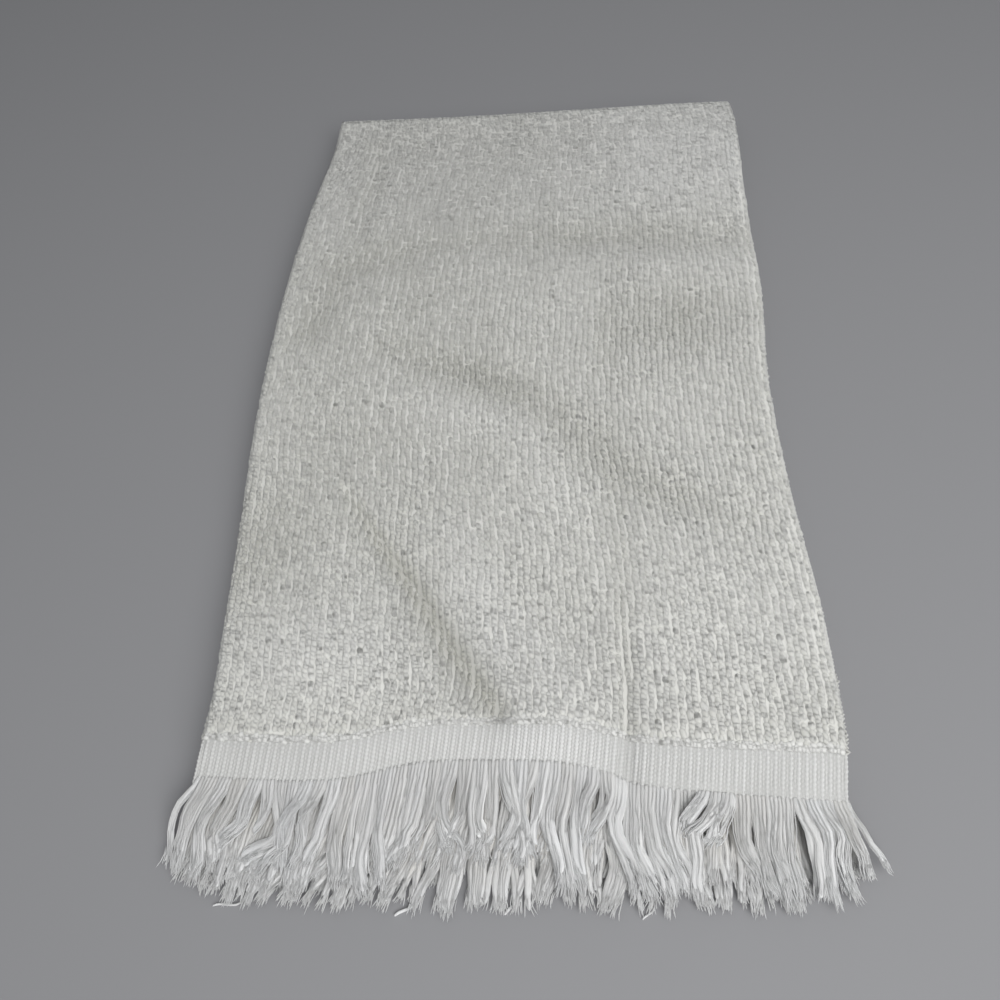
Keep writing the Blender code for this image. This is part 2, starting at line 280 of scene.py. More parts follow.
def fold(a, b, c):
    """Where points of the flat cloth end up in the packet."""
    a, b, c = np.broadcast_arrays(np.asarray(a, float), np.asarray(b, float), np.asarray(c, float))
    lower = b > RUN + math.pi
    b = np.where(lower, END_TO_END - b, b)
    from_end = np.maximum(b, 0.0)
    outer, inner = a < PANEL, a > PANEL + SIDE_TURN
    on_turn = ~outer & ~inner
    level = np.where(outer, OUTER_LEVEL + c, np.where(inner, INNER_LEVEL - c, LAYER_PITCH + SIDE_RADIUS + c))
    turn = np.where(on_turn, (a - PANEL) / SIDE_TURN * math.pi, 0.0)
    height = np.where(on_turn, LAYER_PITCH + (level - LAYER_PITCH) * np.cos(turn), level)
    angle = np.maximum(b - RUN, 0.0)
    y = np.where(angle > 0, FAR_AXIS + height * np.sin(angle), NEAR_EDGE + b)
    z_run = MIDDLE_HEIGHT + np.where(lower, -height, height)
    z = np.where(angle > 0, MIDDLE_HEIGHT + height * np.cos(angle), z_run)
    along = (y - NEAR_EDGE) / MM
    fold_x = read(OUTLINE, 1, along) * MM + SIDE_RADIUS + TERRY_THICK / 2
    edge_x = read(OUTLINE, 2, along) * MM
    inner_width = CLOTH_WIDTH - SIDE_TURN - (edge_x - fold_x)
    inner_edge_x = np.minimum(fold_x + inner_width, edge_x - INNER_INSET)
    outer_x = edge_x + (fold_x - edge_x) * a / PANEL
    inner_x = inner_edge_x + (fold_x - inner_edge_x) * (CLOTH_WIDTH - a) / PANEL
    turn_x = fold_x - (level - LAYER_PITCH) * np.sin(turn)
    x = np.where(outer, outer_x, np.where(inner, inner_x, turn_x))
    from_corner = np.minimum(from_end, np.maximum(RUN - b, 0.0))
    roll = EDGE_ROLL_DROP * ease(1 - a / EDGE_ROLL_REACH) * ease(from_corner / SLIDE_REACH)
    roll = np.where(outer, roll, 0.0)
    z = z - roll * (z - MIDDLE_HEIGHT) / height
    height = height - roll
    slide = 1 - ease((y - NEAR_EDGE) / SLIDE_REACH)
    lead = INNER_LEAD * (OUTER_LEVEL - height) / (OUTER_LEVEL - INNER_LEVEL)
    drawn_back = np.where(lower, -lead - LOWER_LEAD, read(HEM_WAVE, 1, x / MM) * MM - lead)
    return settle(x + np.where(lower, LOWER_SLIP, 0.0) * slide, y + drawn_back * slide, z, from_end)


print("near hem at", fold(PANEL / 2, 0.0, HEM_THICK / 2).round(4))
print("far fold at", fold(PANEL / 2, RUN + math.pi / 2, 0.0).round(4))


# %% [markdown]
# ## Standing on the folded cloth
#
# A loop has to know where it stands and which way is up, along and across there. Moving a hair's breadth
# along the flat cloth, in each direction, and seeing how the folded point moves gives those directions.

# %% Place and directions at points of the cloth
def stand_on(a, b, c):
    """Points of the folded cloth with unit vectors across it, along it and out of it."""
    hair = 1e-5
    place = fold(a, b, c)
    across = unit(fold(a + hair, b, c) - fold(a - hair, b, c))
    along = unit(fold(a, b + hair, c) - fold(a, b - hair, c))
    out = unit(np.cross(across, along))
    toward = np.sign(np.sum(out * (fold(a, b, c + np.sign(c) * hair) - place), axis=-1, keepdims=True))
    return place, across, along, out * toward


# %% [markdown]
# ## Meshes from arrays
#
# Two kinds of mesh make the whole towel. A slab is a grid of points with a front, a back and a rim: the
# ground cloth and the bands. A bundle of tubes is everything made of yarn. Each tube closes to a point at
# both ends, so a loop that dips into the cloth and a thread that frays out are both whole, closed shapes.
# Every piece prints the space it fills: a minus sign there would mean that its faces point inwards.
#
# Real yarn is furry, so light wraps round it and it never shades as hard as a smooth tube. Fur would take
# millions of hairs. Custom normals do it for nothing: every normal is bent a little towards the way the
# whole cloth faces (`fluff`), and the shading of the single tube grows soft while its shape stays.

# %% A mesh piece that rides on the towel
def new_piece(name, points, faces, material, tone=None, fibre=None, fluff=None):
    """tone lightens or darkens each point, fibre is the way its yarn runs, fluff bends its shading."""
    mesh = bpy.data.meshes.new(name)
    mesh.vertices.add(len(points))
    mesh.vertices.foreach_set("co", np.asarray(points, np.float32).ravel())
    mesh.loops.add(faces.size)
    mesh.loops.foreach_set("vertex_index", faces.astype(np.int32).ravel())
    mesh.polygons.add(len(faces))
    mesh.polygons.foreach_set("loop_start", np.arange(0, faces.size, faces.shape[1], dtype=np.int32))
    mesh.update(calc_edges=True)
    mesh.shade_smooth()
    mesh.materials.append(material)
    tone = np.zeros(len(points)) if tone is None else tone
    fibre = points if fibre is None else fibre
    tones = mesh.attributes.new("tone", "FLOAT", "POINT")
    tones.data.foreach_set("value", np.asarray(tone, np.float32).ravel())
    fibres = mesh.attributes.new("fibre", "FLOAT_VECTOR", "POINT")
    fibres.data.foreach_set("vector", np.asarray(fibre, np.float32).ravel())
    if fluff is not None:
        normals = np.empty(points.size, np.float32)
        mesh.vertex_normals.foreach_get("vector", normals)
        mesh.normals_split_custom_set_from_vertices(unit(normals.reshape(-1, 3) + fluff))
    piece = bpy.data.objects.new(name, mesh)
    bpy.context.scene.collection.objects.link(piece)
    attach(piece, "root")
    corners = points[faces]
    fans = [(corners[:, 0], corners[:, i], corners[:, i + 1]) for i in range(1, faces.shape[1] - 1)]
    space = sum(np.einsum("ij,ij->", one, np.cross(two, three)) for one, two, three in fans) / 6
    print(f"{name}: {len(faces) * len(fans)} triangles, {space * 1e6:.2f} cubic cm")
    return piece


# %% A closed slab
def slab_faces(columns, rows):
    """Corners of a closed slab whose front grid comes first, then its back grid."""
    grid = np.arange(columns * rows).reshape(rows, columns)
    back = grid + columns * rows
    quads = [
        np.stack([grid[:-1, :-1], grid[1:, :-1], grid[1:, 1:], grid[:-1, 1:]], axis=-1),
        np.stack([back[:-1, :-1], back[:-1, 1:], back[1:, 1:], back[1:, :-1]], axis=-1),
    ]
    for line, behind in ((grid[0], back[0]), (grid[-1][::-1], back[-1][::-1])):
        quads.append(np.stack([line[:-1], line[1:], behind[1:], behind[:-1]], axis=-1))
    for line, behind in ((grid[::-1, 0], back[::-1, 0]), (grid[:, -1], back[:, -1])):
        quads.append(np.stack([line[:-1], line[1:], behind[1:], behind[:-1]], axis=-1))
    return np.concatenate([q.reshape(-1, 4) for q in quads])


# %% A bundle of closed tubes
FIBRE_STRETCH = 12.0
FIBRE_SHIFT = 0.0137


def tube_faces(count, steps, sides):
    """Triangles of closed tubes whose first and last rings are single points."""
    corner = np.arange(sides)
    following = (corner + 1) % sides
    last = 1 + (steps - 3) * sides
    template = [np.stack([np.zeros(sides, int), 1 + corner, 1 + following], axis=-1)]
    for ring in range(steps - 3):
        here, there = 1 + ring * sides, 1 + (ring + 1) * sides
        template.append(np.stack([here + corner, there + following, here + following], axis=-1))
        template.append(np.stack([here + corner, there + corner, there + following], axis=-1))
    template.append(np.stack([last + following, last + corner, np.full(sides, last + sides)], axis=-1))
    firsts = (last + sides + 1) * np.arange(count)[:, None, None]
    return (np.concatenate(template)[None] + firsts).reshape(-1, 3)


def tubes(paths, side, wide, high, sides=4):
    """Closed tubes along paths of shape (tubes, steps, 3): points, triangles and fibre directions."""
    count, steps, _ = paths.shape
    tangent = unit(np.gradient(paths, axis=1))
    lift = unit(np.cross(np.broadcast_to(side, paths.shape), tangent))
    across = np.cross(tangent, lift)
    angles = math.pi / 2 + 2 * math.pi * np.arange(sides) / sides
    wide, high = (np.broadcast_to(size, (count, steps))[..., None] for size in (wide, high))
    sideways, upward = wide * np.cos(angles), high * np.sin(angles)
    rings = across[:, :, None] * sideways[..., None] + lift[:, :, None] * upward[..., None]
    rings = paths[:, :, None] + rings
    lengths = np.linalg.norm(np.diff(paths, axis=1, prepend=paths[:, :1]), axis=-1)
    gone = np.cumsum(lengths, axis=1)[..., None] / FIBRE_STRETCH + 0 * sideways
    own = FIBRE_SHIFT * np.arange(count)[:, None, None]
    fibre = np.stack([gone, sideways + own, upward], axis=-1)
    ends_as_points = slice(sides - 1, (steps - 1) * sides + 1)
    rings, fibre = (part.reshape(count, -1, 3)[:, ends_as_points].reshape(-1, 3) for part in (rings, fibre))
    return rings, tube_faces(count, steps, sides), fibre


# %% [markdown]
# ## Cotton
#
# Cotton has no gloss. Every loop catches the light a little differently, so the colour is mixed from a
# number that each loop carries (`tone`) and a slow mottling. The same number carries painted shade and
# painted light as well: darker in the creases, in one broad patch, in the hidden layers of the fringe and
# at its roots, lighter on the swells, the knobs of the bands, raised locks, the fringe's tips, the first
# line of the pile and the open edge. The fuzz on it brightens where the surface turns away, which is the
# shader's sheen, and light soaks a little way into it, which is subsurface scattering. Both are the same
# all over, so they are set on the shader's own sockets. The fibres are thinner than any mesh here, so they
# are bump: noise that is drawn out along each yarn, with the coordinates that the tubes carry for it
# (`fibre`). The ground cloth's bump is far deeper and coarser than the yarns', because there it has to
# stand for whole loops.

# %% A cotton material
DULL = 0.95
GLINT = 0.25
SHEEN_SPREAD = 0.6
GLOW_REACH = 0.0009
MOTTLING_SCALE = 45
MOTTLING_DEPTH = 0.3
MOTTLING_BASE = 0.35


def cotton(name, shade, light, sheen, glow, fibre_scale, fibre_depth):
    """Cream cotton between two colours, with bump of a given depth in metres."""
    material = bpy.data.materials.new(name)
    material.use_nodes = True
    nodes, links = material.node_tree.nodes, material.node_tree.links
    shader = nodes["Principled BSDF"]
    shader.inputs["Roughness"].default_value = DULL
    shader.inputs["Specular IOR Level"].default_value = GLINT
    shader.inputs["Sheen Weight"].default_value = sheen
    shader.inputs["Sheen Roughness"].default_value = SHEEN_SPREAD
    shader.inputs["Subsurface Weight"].default_value = glow
    shader.inputs["Subsurface Radius"].default_value = (1.0, 1.0, 1.0)
    shader.inputs["Subsurface Scale"].default_value = GLOW_REACH
    place = nodes.new("ShaderNodeTexCoord")
    mottling = nodes.new("ShaderNodeTexNoise")
    mottling.inputs["Scale"].default_value = MOTTLING_SCALE
    mottling.inputs["Detail"].default_value = 5
    calm = nodes.new("ShaderNodeMath")
    calm.operation = "MULTIPLY_ADD"
    calm.inputs[1].default_value = MOTTLING_DEPTH
    calm.inputs[2].default_value = MOTTLING_BASE
    tone = nodes.new("ShaderNodeAttribute")
    tone.attribute_name = "tone"
    add = nodes.new("ShaderNodeMath")
    add.operation = "ADD"
    mix = nodes.new("ShaderNodeMix")
    mix.data_type = "RGBA"
    mix.inputs["A"].default_value = (*shade, 1)
    mix.inputs["B"].default_value = (*light, 1)
    yarn = nodes.new("ShaderNodeAttribute")
    yarn.attribute_name = "fibre"
    fibres = nodes.new("ShaderNodeTexNoise")
    fibres.inputs["Scale"].default_value = fibre_scale
    fibres.inputs["Detail"].default_value = 3
    bump = nodes.new("ShaderNodeBump")
    bump.inputs["Distance"].default_value = fibre_depth
    links.new(place.outputs["Object"], mottling.inputs["Vector"])
    links.new(yarn.outputs["Vector"], fibres.inputs["Vector"])
    links.new(mottling.outputs["Fac"], calm.inputs[0])
    links.new(calm.outputs[0], add.inputs[0])
    links.new(tone.outputs["Fac"], add.inputs[1])
    links.new(add.outputs[0], mix.inputs["Factor"])
    links.new(mix.outputs["Result"], shader.inputs["Base Color"])
    links.new(fibres.outputs["Fac"], bump.inputs["Height"])
    links.new(bump.outputs["Normal"], shader.inputs["Normal"])
    return material


# %% Four cottons
GROUND_COTTON = cotton("ground_cotton", (0.46, 0.455, 0.415), (0.84, 0.835, 0.79), 0.10, 0.4, 650, 0.0009)
LOOP_COTTON = cotton("loop_cotton", (0.49, 0.488, 0.444), (0.895, 0.892, 0.842), 0.25, 0.7, 2500, 0.0001)
BAND_COTTON = cotton("band_cotton", (0.45, 0.45, 0.43), (0.80, 0.80, 0.785), 0.20, 0.5, 2500, 0.0001)
FRINGE_COTTON = cotton("fringe_cotton", (0.67, 0.642, 0.585), (0.95, 0.965, 0.97), 0.30, 0.7, 3500, 0.0001)
print("cottons:", [one.name for one in (GROUND_COTTON, LOOP_COTTON, BAND_COTTON, FRINGE_COTTON)])

# %% [markdown]
# ## The ground cloth
#
# Under the loops lies a plain woven cloth. Here it is 1.7 mm thick, more than the real one, because it
# also stands for the dense feet of the loops, which sink into it by half. It could be drawn as a surface
# with a Solidify modifier, but the fold turns very tightly, so both faces are folded point by point
# instead. The rows of the grid lie closer where the cloth turns and further apart where nobody sees it.
#
# The underside and the faces between the layers have no modelled loops, since a million triangles are
# soon used up. There (`bare`) the bump draws them: its noise reads the place on the flat cloth, stretched
# along the rows like a loop.

# %% The grid of the ground cloth
GROUND_TAPER = 0.0018
BAND_OVERLAP = 0.0005
GRID_STEP = 0.0028
COARSER = 4
EDGE_STEP = 0.002
TAPER_STEP = 0.0009
SIDE_TURN_STEPS = 8
FAR_TURN_STEPS = 10


def even(start, end, step):
    """Evenly spaced values from start to end, about a step apart."""
    return np.linspace(start, end, max(int(round((end - start) / step)), 1) + 1)


ground_columns = np.concatenate(
    [
        even(0, EDGE_ROLL_REACH, EDGE_STEP)[:-1],
        even(EDGE_ROLL_REACH, PANEL, GRID_STEP)[:-1],
        np.linspace(PANEL, PANEL + SIDE_TURN, SIDE_TURN_STEPS + 1)[:-1],
        even(PANEL + SIDE_TURN, CLOTH_WIDTH, COARSER * GRID_STEP),
    ]
)
ground_start = HEM_DEPTH - BAND_OVERLAP
ground_rows = np.concatenate(
    [
        even(ground_start, ground_start + 2 * GROUND_TAPER, TAPER_STEP)[:-1],
        even(ground_start + 2 * GROUND_TAPER, RUN, GRID_STEP)[:-1],
        np.linspace(RUN, RUN + math.pi, FAR_TURN_STEPS + 1)[:-1],
        even(RUN + math.pi, END_TO_END - ground_start - 2 * GROUND_TAPER, COARSER * GRID_STEP)[:-1],
        even(END_TO_END - ground_start - 2 * GROUND_TAPER, END_TO_END - ground_start, 2 * TAPER_STEP),
    ]
)
print("grid of the ground cloth:", len(ground_columns), "by", len(ground_rows))

# %% Ground cloth
GROUND_HALF = 0.00085
LOOP_SHAPE = 2.2
GROUND_TONE = 0.4


def ground_half(b):
    """Half the thickness of the ground cloth, which thins towards the bands."""
    from_band = np.minimum(b, END_TO_END - b) - HEM_DEPTH
    return GROUND_HALF * (0.45 + 0.55 * ease(from_band / GROUND_TAPER))


flat_a, flat_b = np.meshgrid(ground_columns, ground_rows)
flat_place = np.stack([flat_a, flat_b / LOOP_SHAPE, 0 * flat_a], axis=-1).reshape(-1, 3)
bare = ((flat_a > PANEL) | (flat_b > RUN)).reshape(-1, 1)
ground_place = fold(flat_a, flat_b, 0.0).reshape(-1, 3)
# Its tone carries the painted shade of the creases and the painted light of the swells.
ground = new_piece(
    "towel_ground",
    np.concatenate([fold(flat_a, flat_b, side * ground_half(flat_b)).reshape(-1, 3) for side in (1, -1)]),
    slab_faces(len(ground_columns), len(ground_rows)),
    GROUND_COTTON,
    np.tile(painted_relief_shading(ground_place[:, 0], ground_place[:, 1]), 2) + GROUND_TONE,
    np.concatenate([flat_place * bare, flat_place + (0.0, 0.0, 0.1)]),
)

# %% [markdown]
# ## The pile
#
# The loops stand in rows along the cloth, 2.1 mm apart, because only every other warp yarn makes loops.
# Seen from above they look like grains of rice laid end to end, each a little askew. Geometry Nodes could
# scatter a loop on the cloth, but rows that follow the cloth round its folds are simpler to work out as
# flat places: rows times steps, each nudged by chance, then stood on the folded cloth.
#
# A washed pile is a matted surface and not a tray of grains. So each loop is a lying tube more than twice
# as long as the step to the next one, and it is sunk by half: its neighbours run into each other and only
# their backs show. A row also drifts sideways as a whole, because a loop is pushed by the ones behind it.
# Where a real pile has been brushed one way or the other it looks lighter or darker, so neighbouring
# loops lean together. Towards the far fold the loops lie flatter and wider, where the photograph shows a
# smoother cloth. The top comes in three pieces side by side, so that no mesh passes 200,000 triangles.

# %% Middle lines of many loops
LOOP_PITCH = 0.00125
LOOP_HEIGHT = 0.00022
LOOP_LENGTH = 0.00300
LOOP_SUNK = 0.00013
LOOP_RISE = 0.00006

# The middle line of a loop, in shares of its length and height: along the row, across it, up.
LOOP_LINE = np.array(
    (
        (-0.50, -0.07, -1.70),
        (-0.27, -0.06, 0.30),
        (0.02, 0.00, 1.00),
        (0.29, 0.06, 0.25),
        (0.50, 0.07, -1.70),
    )
)
BRUSHED_LEAN = 0.22
BRUSHED_REACH = 0.022
DISORDER_REACH = 0.034
FAR_LOWER = 0.5

# How much the loops differ from one another: the turn in radians, all others as shares.
UNEVEN = {
    "turn": 0.13,
    "lean along": 0.20,
    "lean across": 0.22,
    "height": 0.13,
    "length": 0.22,
    "thickness": 0.10,
    "tone": 0.04,
}



def loop_paths(stand, far, height, length, chance):
    """Middle lines of loops, each with its own size, lean and twist, and the side that each one faces."""
    place, across, along, out = stand
    count = len(place)
    disorder = 1 + 0.6 * wander(place[:, 0], place[:, 1], DISORDER_REACH, 41)
    yaw = chance.normal(0, UNEVEN["turn"], count) * disorder
    lean_along = chance.normal(0, UNEVEN["lean along"], count)
    lean_along = lean_along + BRUSHED_LEAN * wander(place[:, 0], place[:, 1], BRUSHED_REACH, 42)
    lean_across = chance.normal(0, UNEVEN["lean across"], count) * disorder
    lean_across = lean_across + BRUSHED_LEAN * wander(place[:, 0], place[:, 1], BRUSHED_REACH, 43)
    tall = LOOP_HEIGHT * height * chance.normal(1, UNEVEN["height"], count) * (1 - FAR_LOWER * far)
    long = LOOP_LENGTH * length * chance.normal(1, UNEVEN["length"], count)
    u = LOOP_LINE[:, 0] * long[:, None] + LOOP_LINE[:, 2] * (lean_along * tall)[:, None]
    v = LOOP_LINE[:, 1] * long[:, None] + LOOP_LINE[:, 2] * (lean_across * tall)[:, None]
    w = LOOP_LINE[:, 2] * tall[:, None] - LOOP_SUNK + chance.normal(0, LOOP_RISE, (count, 1))
    turned_u = u * np.cos(yaw)[:, None] - v * np.sin(yaw)[:, None]
    turned_v = u * np.sin(yaw)[:, None] + v * np.cos(yaw)[:, None]
    paths = (
        place[:, None]
        + along[:, None] * turned_u[..., None]
        + across[:, None] * turned_v[..., None]
        + out[:, None] * w[..., None]
    )
    return paths, across * np.cos(yaw)[:, None] - along * np.sin(yaw)[:, None]


# %% A piece of loops
LOOP_WIDE = 0.00093
LOOP_HIGH = 0.00050
LOOP_SWELL = np.array((0.0, 0.92, 1.0, 0.90, 0.0))
FLUFF = 1.05
FULL_REACH = 0.040
FAR_FLATTER = 0.65
FAR_WIDER = 0.3
FAR_SOFTER = 1.5

# Loops that would dip under this height are squeezed flat by the floor and never go through it.
UNDER_SOFT = 0.0004


# The bright argument lightens the colour of every loop in the piece: painted light.
def stand_loops(name, stand, chance, height=1.0, length=1.0, painted_light=0.0, soft=1.0):
    """A piece of loops that stand on the cloth at (place, across, along, out)."""
    place, _, _, out = stand
    x, y = place[:, 0], place[:, 1]
    far = ease(y / FAR_AXIS)
    paths, side = loop_paths(stand, far, height, length, chance)
    bulk = chance.normal(1, UNEVEN["thickness"], len(place))[:, None] * LOOP_SWELL
    wide = LOOP_WIDE * bulk * (1 + FAR_WIDER * far)[:, None]
    high = LOOP_HIGH * bulk * (1 - FAR_FLATTER * far)[:, None]
    points, faces, fibre = tubes(paths, side[:, None], wide, high)
    under = points[:, 2] < UNDER_SOFT
    points[under, 2] = UNDER_SOFT * np.exp(points[under, 2] / UNDER_SOFT - 1)
    # Loops that face up get the painted shade of the creases and the painted light of the swells.
    shade = np.where(out[:, 2] > 0, painted_relief_shading(x, y), 0.0)
    # One broad patch of painted shade darkens the loops there.
    tone = chance.normal(0, UNEVEN["tone"], len(place)) + painted_light + shade + painted_shade_patch(x, y)
    full = np.clip(1 + 2 * shade + 0.35 * wander(x, y, FULL_REACH, 44) + FAR_SOFTER * far, 0.3, 2.6)
    fluff = soft * FLUFF * full[:, None] * out
    each = len(points) // len(place)
    tone, fluff = np.repeat(tone, each), np.repeat(fluff, each, axis=0)
    return new_piece(name, points, faces, LOOP_COTTON, tone, fibre, fluff)


# %% Rows of loops on the flat cloth
STEP_JITTER = 0.00030
ROW_DRIFT = 0.00022
ROW_MEMORY = 4


def pile_places(row_lines, step_lines, chance):
    """Flat places of loops in rows, staggered from row to row; each loop is pushed by the ones behind it."""
    a, b = np.meshgrid(row_lines, step_lines)
    stagger = (np.arange(len(row_lines)) % 2) * 0.5 + chance.random(len(row_lines)) * 0.3
    b = b + stagger * LOOP_PITCH + chance.normal(0, STEP_JITTER, a.shape)
    nudge = np.clip(chance.normal(0, 1, a.shape), -1.5, 1.5)
    drift = sum(np.roll(nudge, shift, axis=0) for shift in range(ROW_MEMORY)) / math.sqrt(ROW_MEMORY)
    a = a + ROW_DRIFT * np.clip(drift, -1.3, 1.3) + 0.3 * ROW_DRIFT * nudge
    return a.ravel(), b.ravel()


# %% The pile of the top
ROW_PITCH = 0.0021
TOP_PIECES = 3
PILE_SEED = 5
ROW_WAVE = 0.0006
ROW_WAVE_REACH = 0.055
WAVE_START = 0.010
FIRST_ROW_INSET = 0.0003
PILE_START = HEM_DEPTH + 0.0003
chance = np.random.default_rng(PILE_SEED)
row_count = round(PANEL / ROW_PITCH)
top_rows = (np.arange(row_count) + 0.5) * PANEL / row_count
top_steps = np.arange(PILE_START, RUN, LOOP_PITCH)
print("rows of loops on the top:", row_count, "loops in a row:", len(top_steps))
for part, rows in enumerate(np.array_split(top_rows, TOP_PIECES)):
    a, b = pile_places(rows, top_steps, chance)
    inside = ease(np.minimum(a, PANEL - a) / WAVE_START)
    a = a + ROW_WAVE * inside * wander(a, b, ROW_WAVE_REACH, 21)
    stand = stand_on(np.maximum(a, FIRST_ROW_INSET), b, ground_half(b))
    stand_loops(f"pile_top_{part + 1}", stand, chance)

# %% [markdown]
# ## Round the folds and along the edges
#
# The same rows run on over the far fold, and a few more wrap round the two folds of the left-hand side,
# with every other loop left out in the lower one, which is hardly seen. On the open side the loops of the
# last row stand out sideways over the selvedge: they are the same loops with `out` and `across` swapped,
# taller and half as long, which gives the packet its nubbly outline there.

# %% The pile of the folds
FAR_STEP = LOOP_PITCH / (OUTER_LEVEL + TERRY_THICK / 2)
SIDE_ROWS = 4
far_steps = np.arange(RUN, RUN + math.pi, FAR_STEP)
far_a, far_b = pile_places(top_rows, far_steps, chance)
side_rows = PANEL + (np.arange(SIDE_ROWS) + 0.3) * SIDE_TURN / SIDE_ROWS
side_steps = np.concatenate([top_steps, far_steps[::2], END_TO_END - top_steps[::-2]])
side_a, side_b = pile_places(side_rows, side_steps, chance)
fold_a, fold_b = np.concatenate([far_a, side_a]), np.concatenate([far_b, side_b])
stand = stand_on(fold_a, fold_b, ground_half(fold_b))
stand_loops("pile_folds", stand, chance)

# %% The pile of the open edge
EDGE_INSET = 0.0002
EDGE_HEIGHT = 3.6
EDGE_LENGTH = 0.5
# The loops of the open edge are painted a little lighter: painted light on the rim.
EDGE_PAINTED_LIGHT = 0.1
edge_steps = np.concatenate([top_steps, END_TO_END - top_steps[::-2]])
edge_stands = []
for selvedge, outward in ((EDGE_INSET, -1), (CLOTH_WIDTH - EDGE_INSET, 1)):
    place, across, along, out = stand_on(np.full(edge_steps.shape, selvedge), edge_steps, 1e-5)
    edge_stands.append((place, out, along, across * outward))
stand = [np.concatenate(parts) for parts in zip(*edge_stands)]
stand_loops("pile_edge", stand, chance, EDGE_HEIGHT, EDGE_LENGTH, EDGE_PAINTED_LIGHT)

# %% [markdown]
# ## The woven bands
#
# At each end the pile stops and the cloth runs on flat for 14 mm. The warp yarns stand up in it as fine
# lengthwise ribs, a thick one in step with each row of loops and a thin one between. A texture could draw
# them, but the band is what the eye rests on beside the fringe, and the fringe is nothing else than these
# yarns running on. So they are real yarns here, knobbly, and a thin slab between them closes the gaps.
# Where they cross over the weft they are painted lighter and where they dip under it darker: painted light
# and painted shade. Ribs inside the packet or under it have a quarter of the knobs.

# %% Where the upper band really ends
YARN_PITCH = ROW_PITCH / 2
YARN_TUCK = 0.0014

# mm: flat place across from the selvedge, how far the top band's edge lies inside the cloth's own end.
BAND_EDGE = (
    (0, 0.0),
    (40, 0.8),
    (85, 1.8),
    (186, 2.2),
)


def band_start(a):
    """Where the upper band ends along the cloth, at places across it."""
    return read(BAND_EDGE, 1, a / MM) * MM


yarn_lines = (np.arange(round(CLOTH_WIDTH / YARN_PITCH)) + 0.5) * YARN_PITCH
print("warp yarns:", len(yarn_lines))

# %% The thin slab of a band
BAND_THICK = 0.0008
BAND_TOP = HEM_DEPTH + 0.0008


def band_slab(name, upper):
    """The thin closed slab that the ribs of a band run through."""
    columns = even(0, CLOTH_WIDTH, 2 * MM)
    shares = even(0, 1, 0.12)
    a, share = np.meshgrid(columns, shares)
    start = band_start(a) if upper else 0 * a
    b = start + (BAND_TOP - start) * share
    side_taper = 0.4 + 0.6 * ease(np.minimum(a, CLOTH_WIDTH - a) / MM)
    half = BAND_THICK / 2 * side_taper * (0.6 + 0.4 * ease(share / 0.1))
    b = b if upper else END_TO_END - b
    slab = np.concatenate([fold(a, b, half).reshape(-1, 3), fold(a, b, -half).reshape(-1, 3)])
    faces = slab_faces(len(columns), len(shares))
    faces = faces if upper else faces[:, ::-1]
    return new_piece(name, slab, faces, BAND_COTTON)


# %% Ribs of a band
BAND_STEP = 0.00062
THICK_RIB = (0.00058, 0.00074)
THIN_RIB = (0.00036, 0.00040)
KNOB = 0.26
KNOB_PAINTED_LIGHT = 0.11
THICK_TONE = 0.16
KNOB_UNEVEN = 0.08

# A rib starts this far outside the band, and its first ring is this far on and this share of full width.
RIB_OUT = 0.0003
RIB_END = 0.0001
RIB_TAPER = 0.6


def band_ribs(name, upper, lines, rib_step):
    """A tube for every warp yarn, through the slab's middle, so that both its faces are ribbed."""
    steps = round(BAND_TOP / rib_step)
    start = band_start(lines) if upper else np.zeros(len(lines))
    b = start[:, None] + np.linspace(0, 1, steps) * (BAND_TOP - start[:, None])
    b[:, 0] -= RIB_OUT
    b[:, 1] = b[:, 0] + RIB_END
    paths = fold(lines[:, None], b if upper else END_TO_END - b, 0.0)
    thick = (np.arange(len(lines)) % 2 == 0)[:, None]
    crossing = np.where((np.arange(steps) % 2 == 0) == thick, 1.0, -1.0)
    knobs = (1 + KNOB * crossing) * chance.normal(1, KNOB_UNEVEN, (len(lines), steps))
    knobs[:, 1] *= RIB_TAPER
    knobs[:, [0, -1]] = 0.0
    wide, high = (np.where(thick, THICK_RIB[i], THIN_RIB[i]) * knobs for i in (0, 1))
    points, faces, fibre = tubes(paths, (1.0, 0.0, 0.0), wide, high)
    ring_tone = chance.normal(0, UNEVEN["tone"], (len(lines), 1))
    # Knobs over the weft get painted light and dips under it painted shade; thick ribs are lighter as a
    # whole.
    ring_tone = ring_tone + THICK_TONE * thick + KNOB_PAINTED_LIGHT * crossing
    tone = ring_tone[:, np.concatenate([[0], np.repeat(np.arange(1, steps - 1), 4), [steps - 1]])].ravel()
    # The ribs get the painted shade of the creases and the painted light of the swells too.
    tone = tone + painted_relief_shading(points[:, 0], points[:, 1])
    fluff = FLUFF * unit(np.array((0.0, -0.1, 1.0 if upper else -1.0)))
    return new_piece(name, points, faces, BAND_COTTON, tone, fibre, fluff)


# %% The bands
seen_lines = yarn_lines < PANEL + SIDE_TURN / 2
bands = [
    band_slab("band_upper_ground", True),
    band_slab("band_lower_ground", False),
    band_ribs("band_upper_outer", True, yarn_lines[seen_lines], BAND_STEP),
    band_ribs("band_upper_inner", True, yarn_lines[~seen_lines], COARSER * BAND_STEP),
    band_ribs("band_lower", False, yarn_lines, COARSER * BAND_STEP),
]

# %% [markdown]
# ## Where the pile begins
#
# The first pick after the band pulls the loops tight, so they stand as a low line across the towel,
# painted lighter than the pile: painted light. Loops laid crossways make it, with `along` and `across`
# swapped: two lines of them on the band that shows and one on the band below.

# %% The line of loops at each band
LINE_STEP = 0.00095
LINE_INSET = 0.0014
LINE_JITTER = 0.00026
LINE_HEIGHT = 2.4
LINE_LENGTH = 0.85
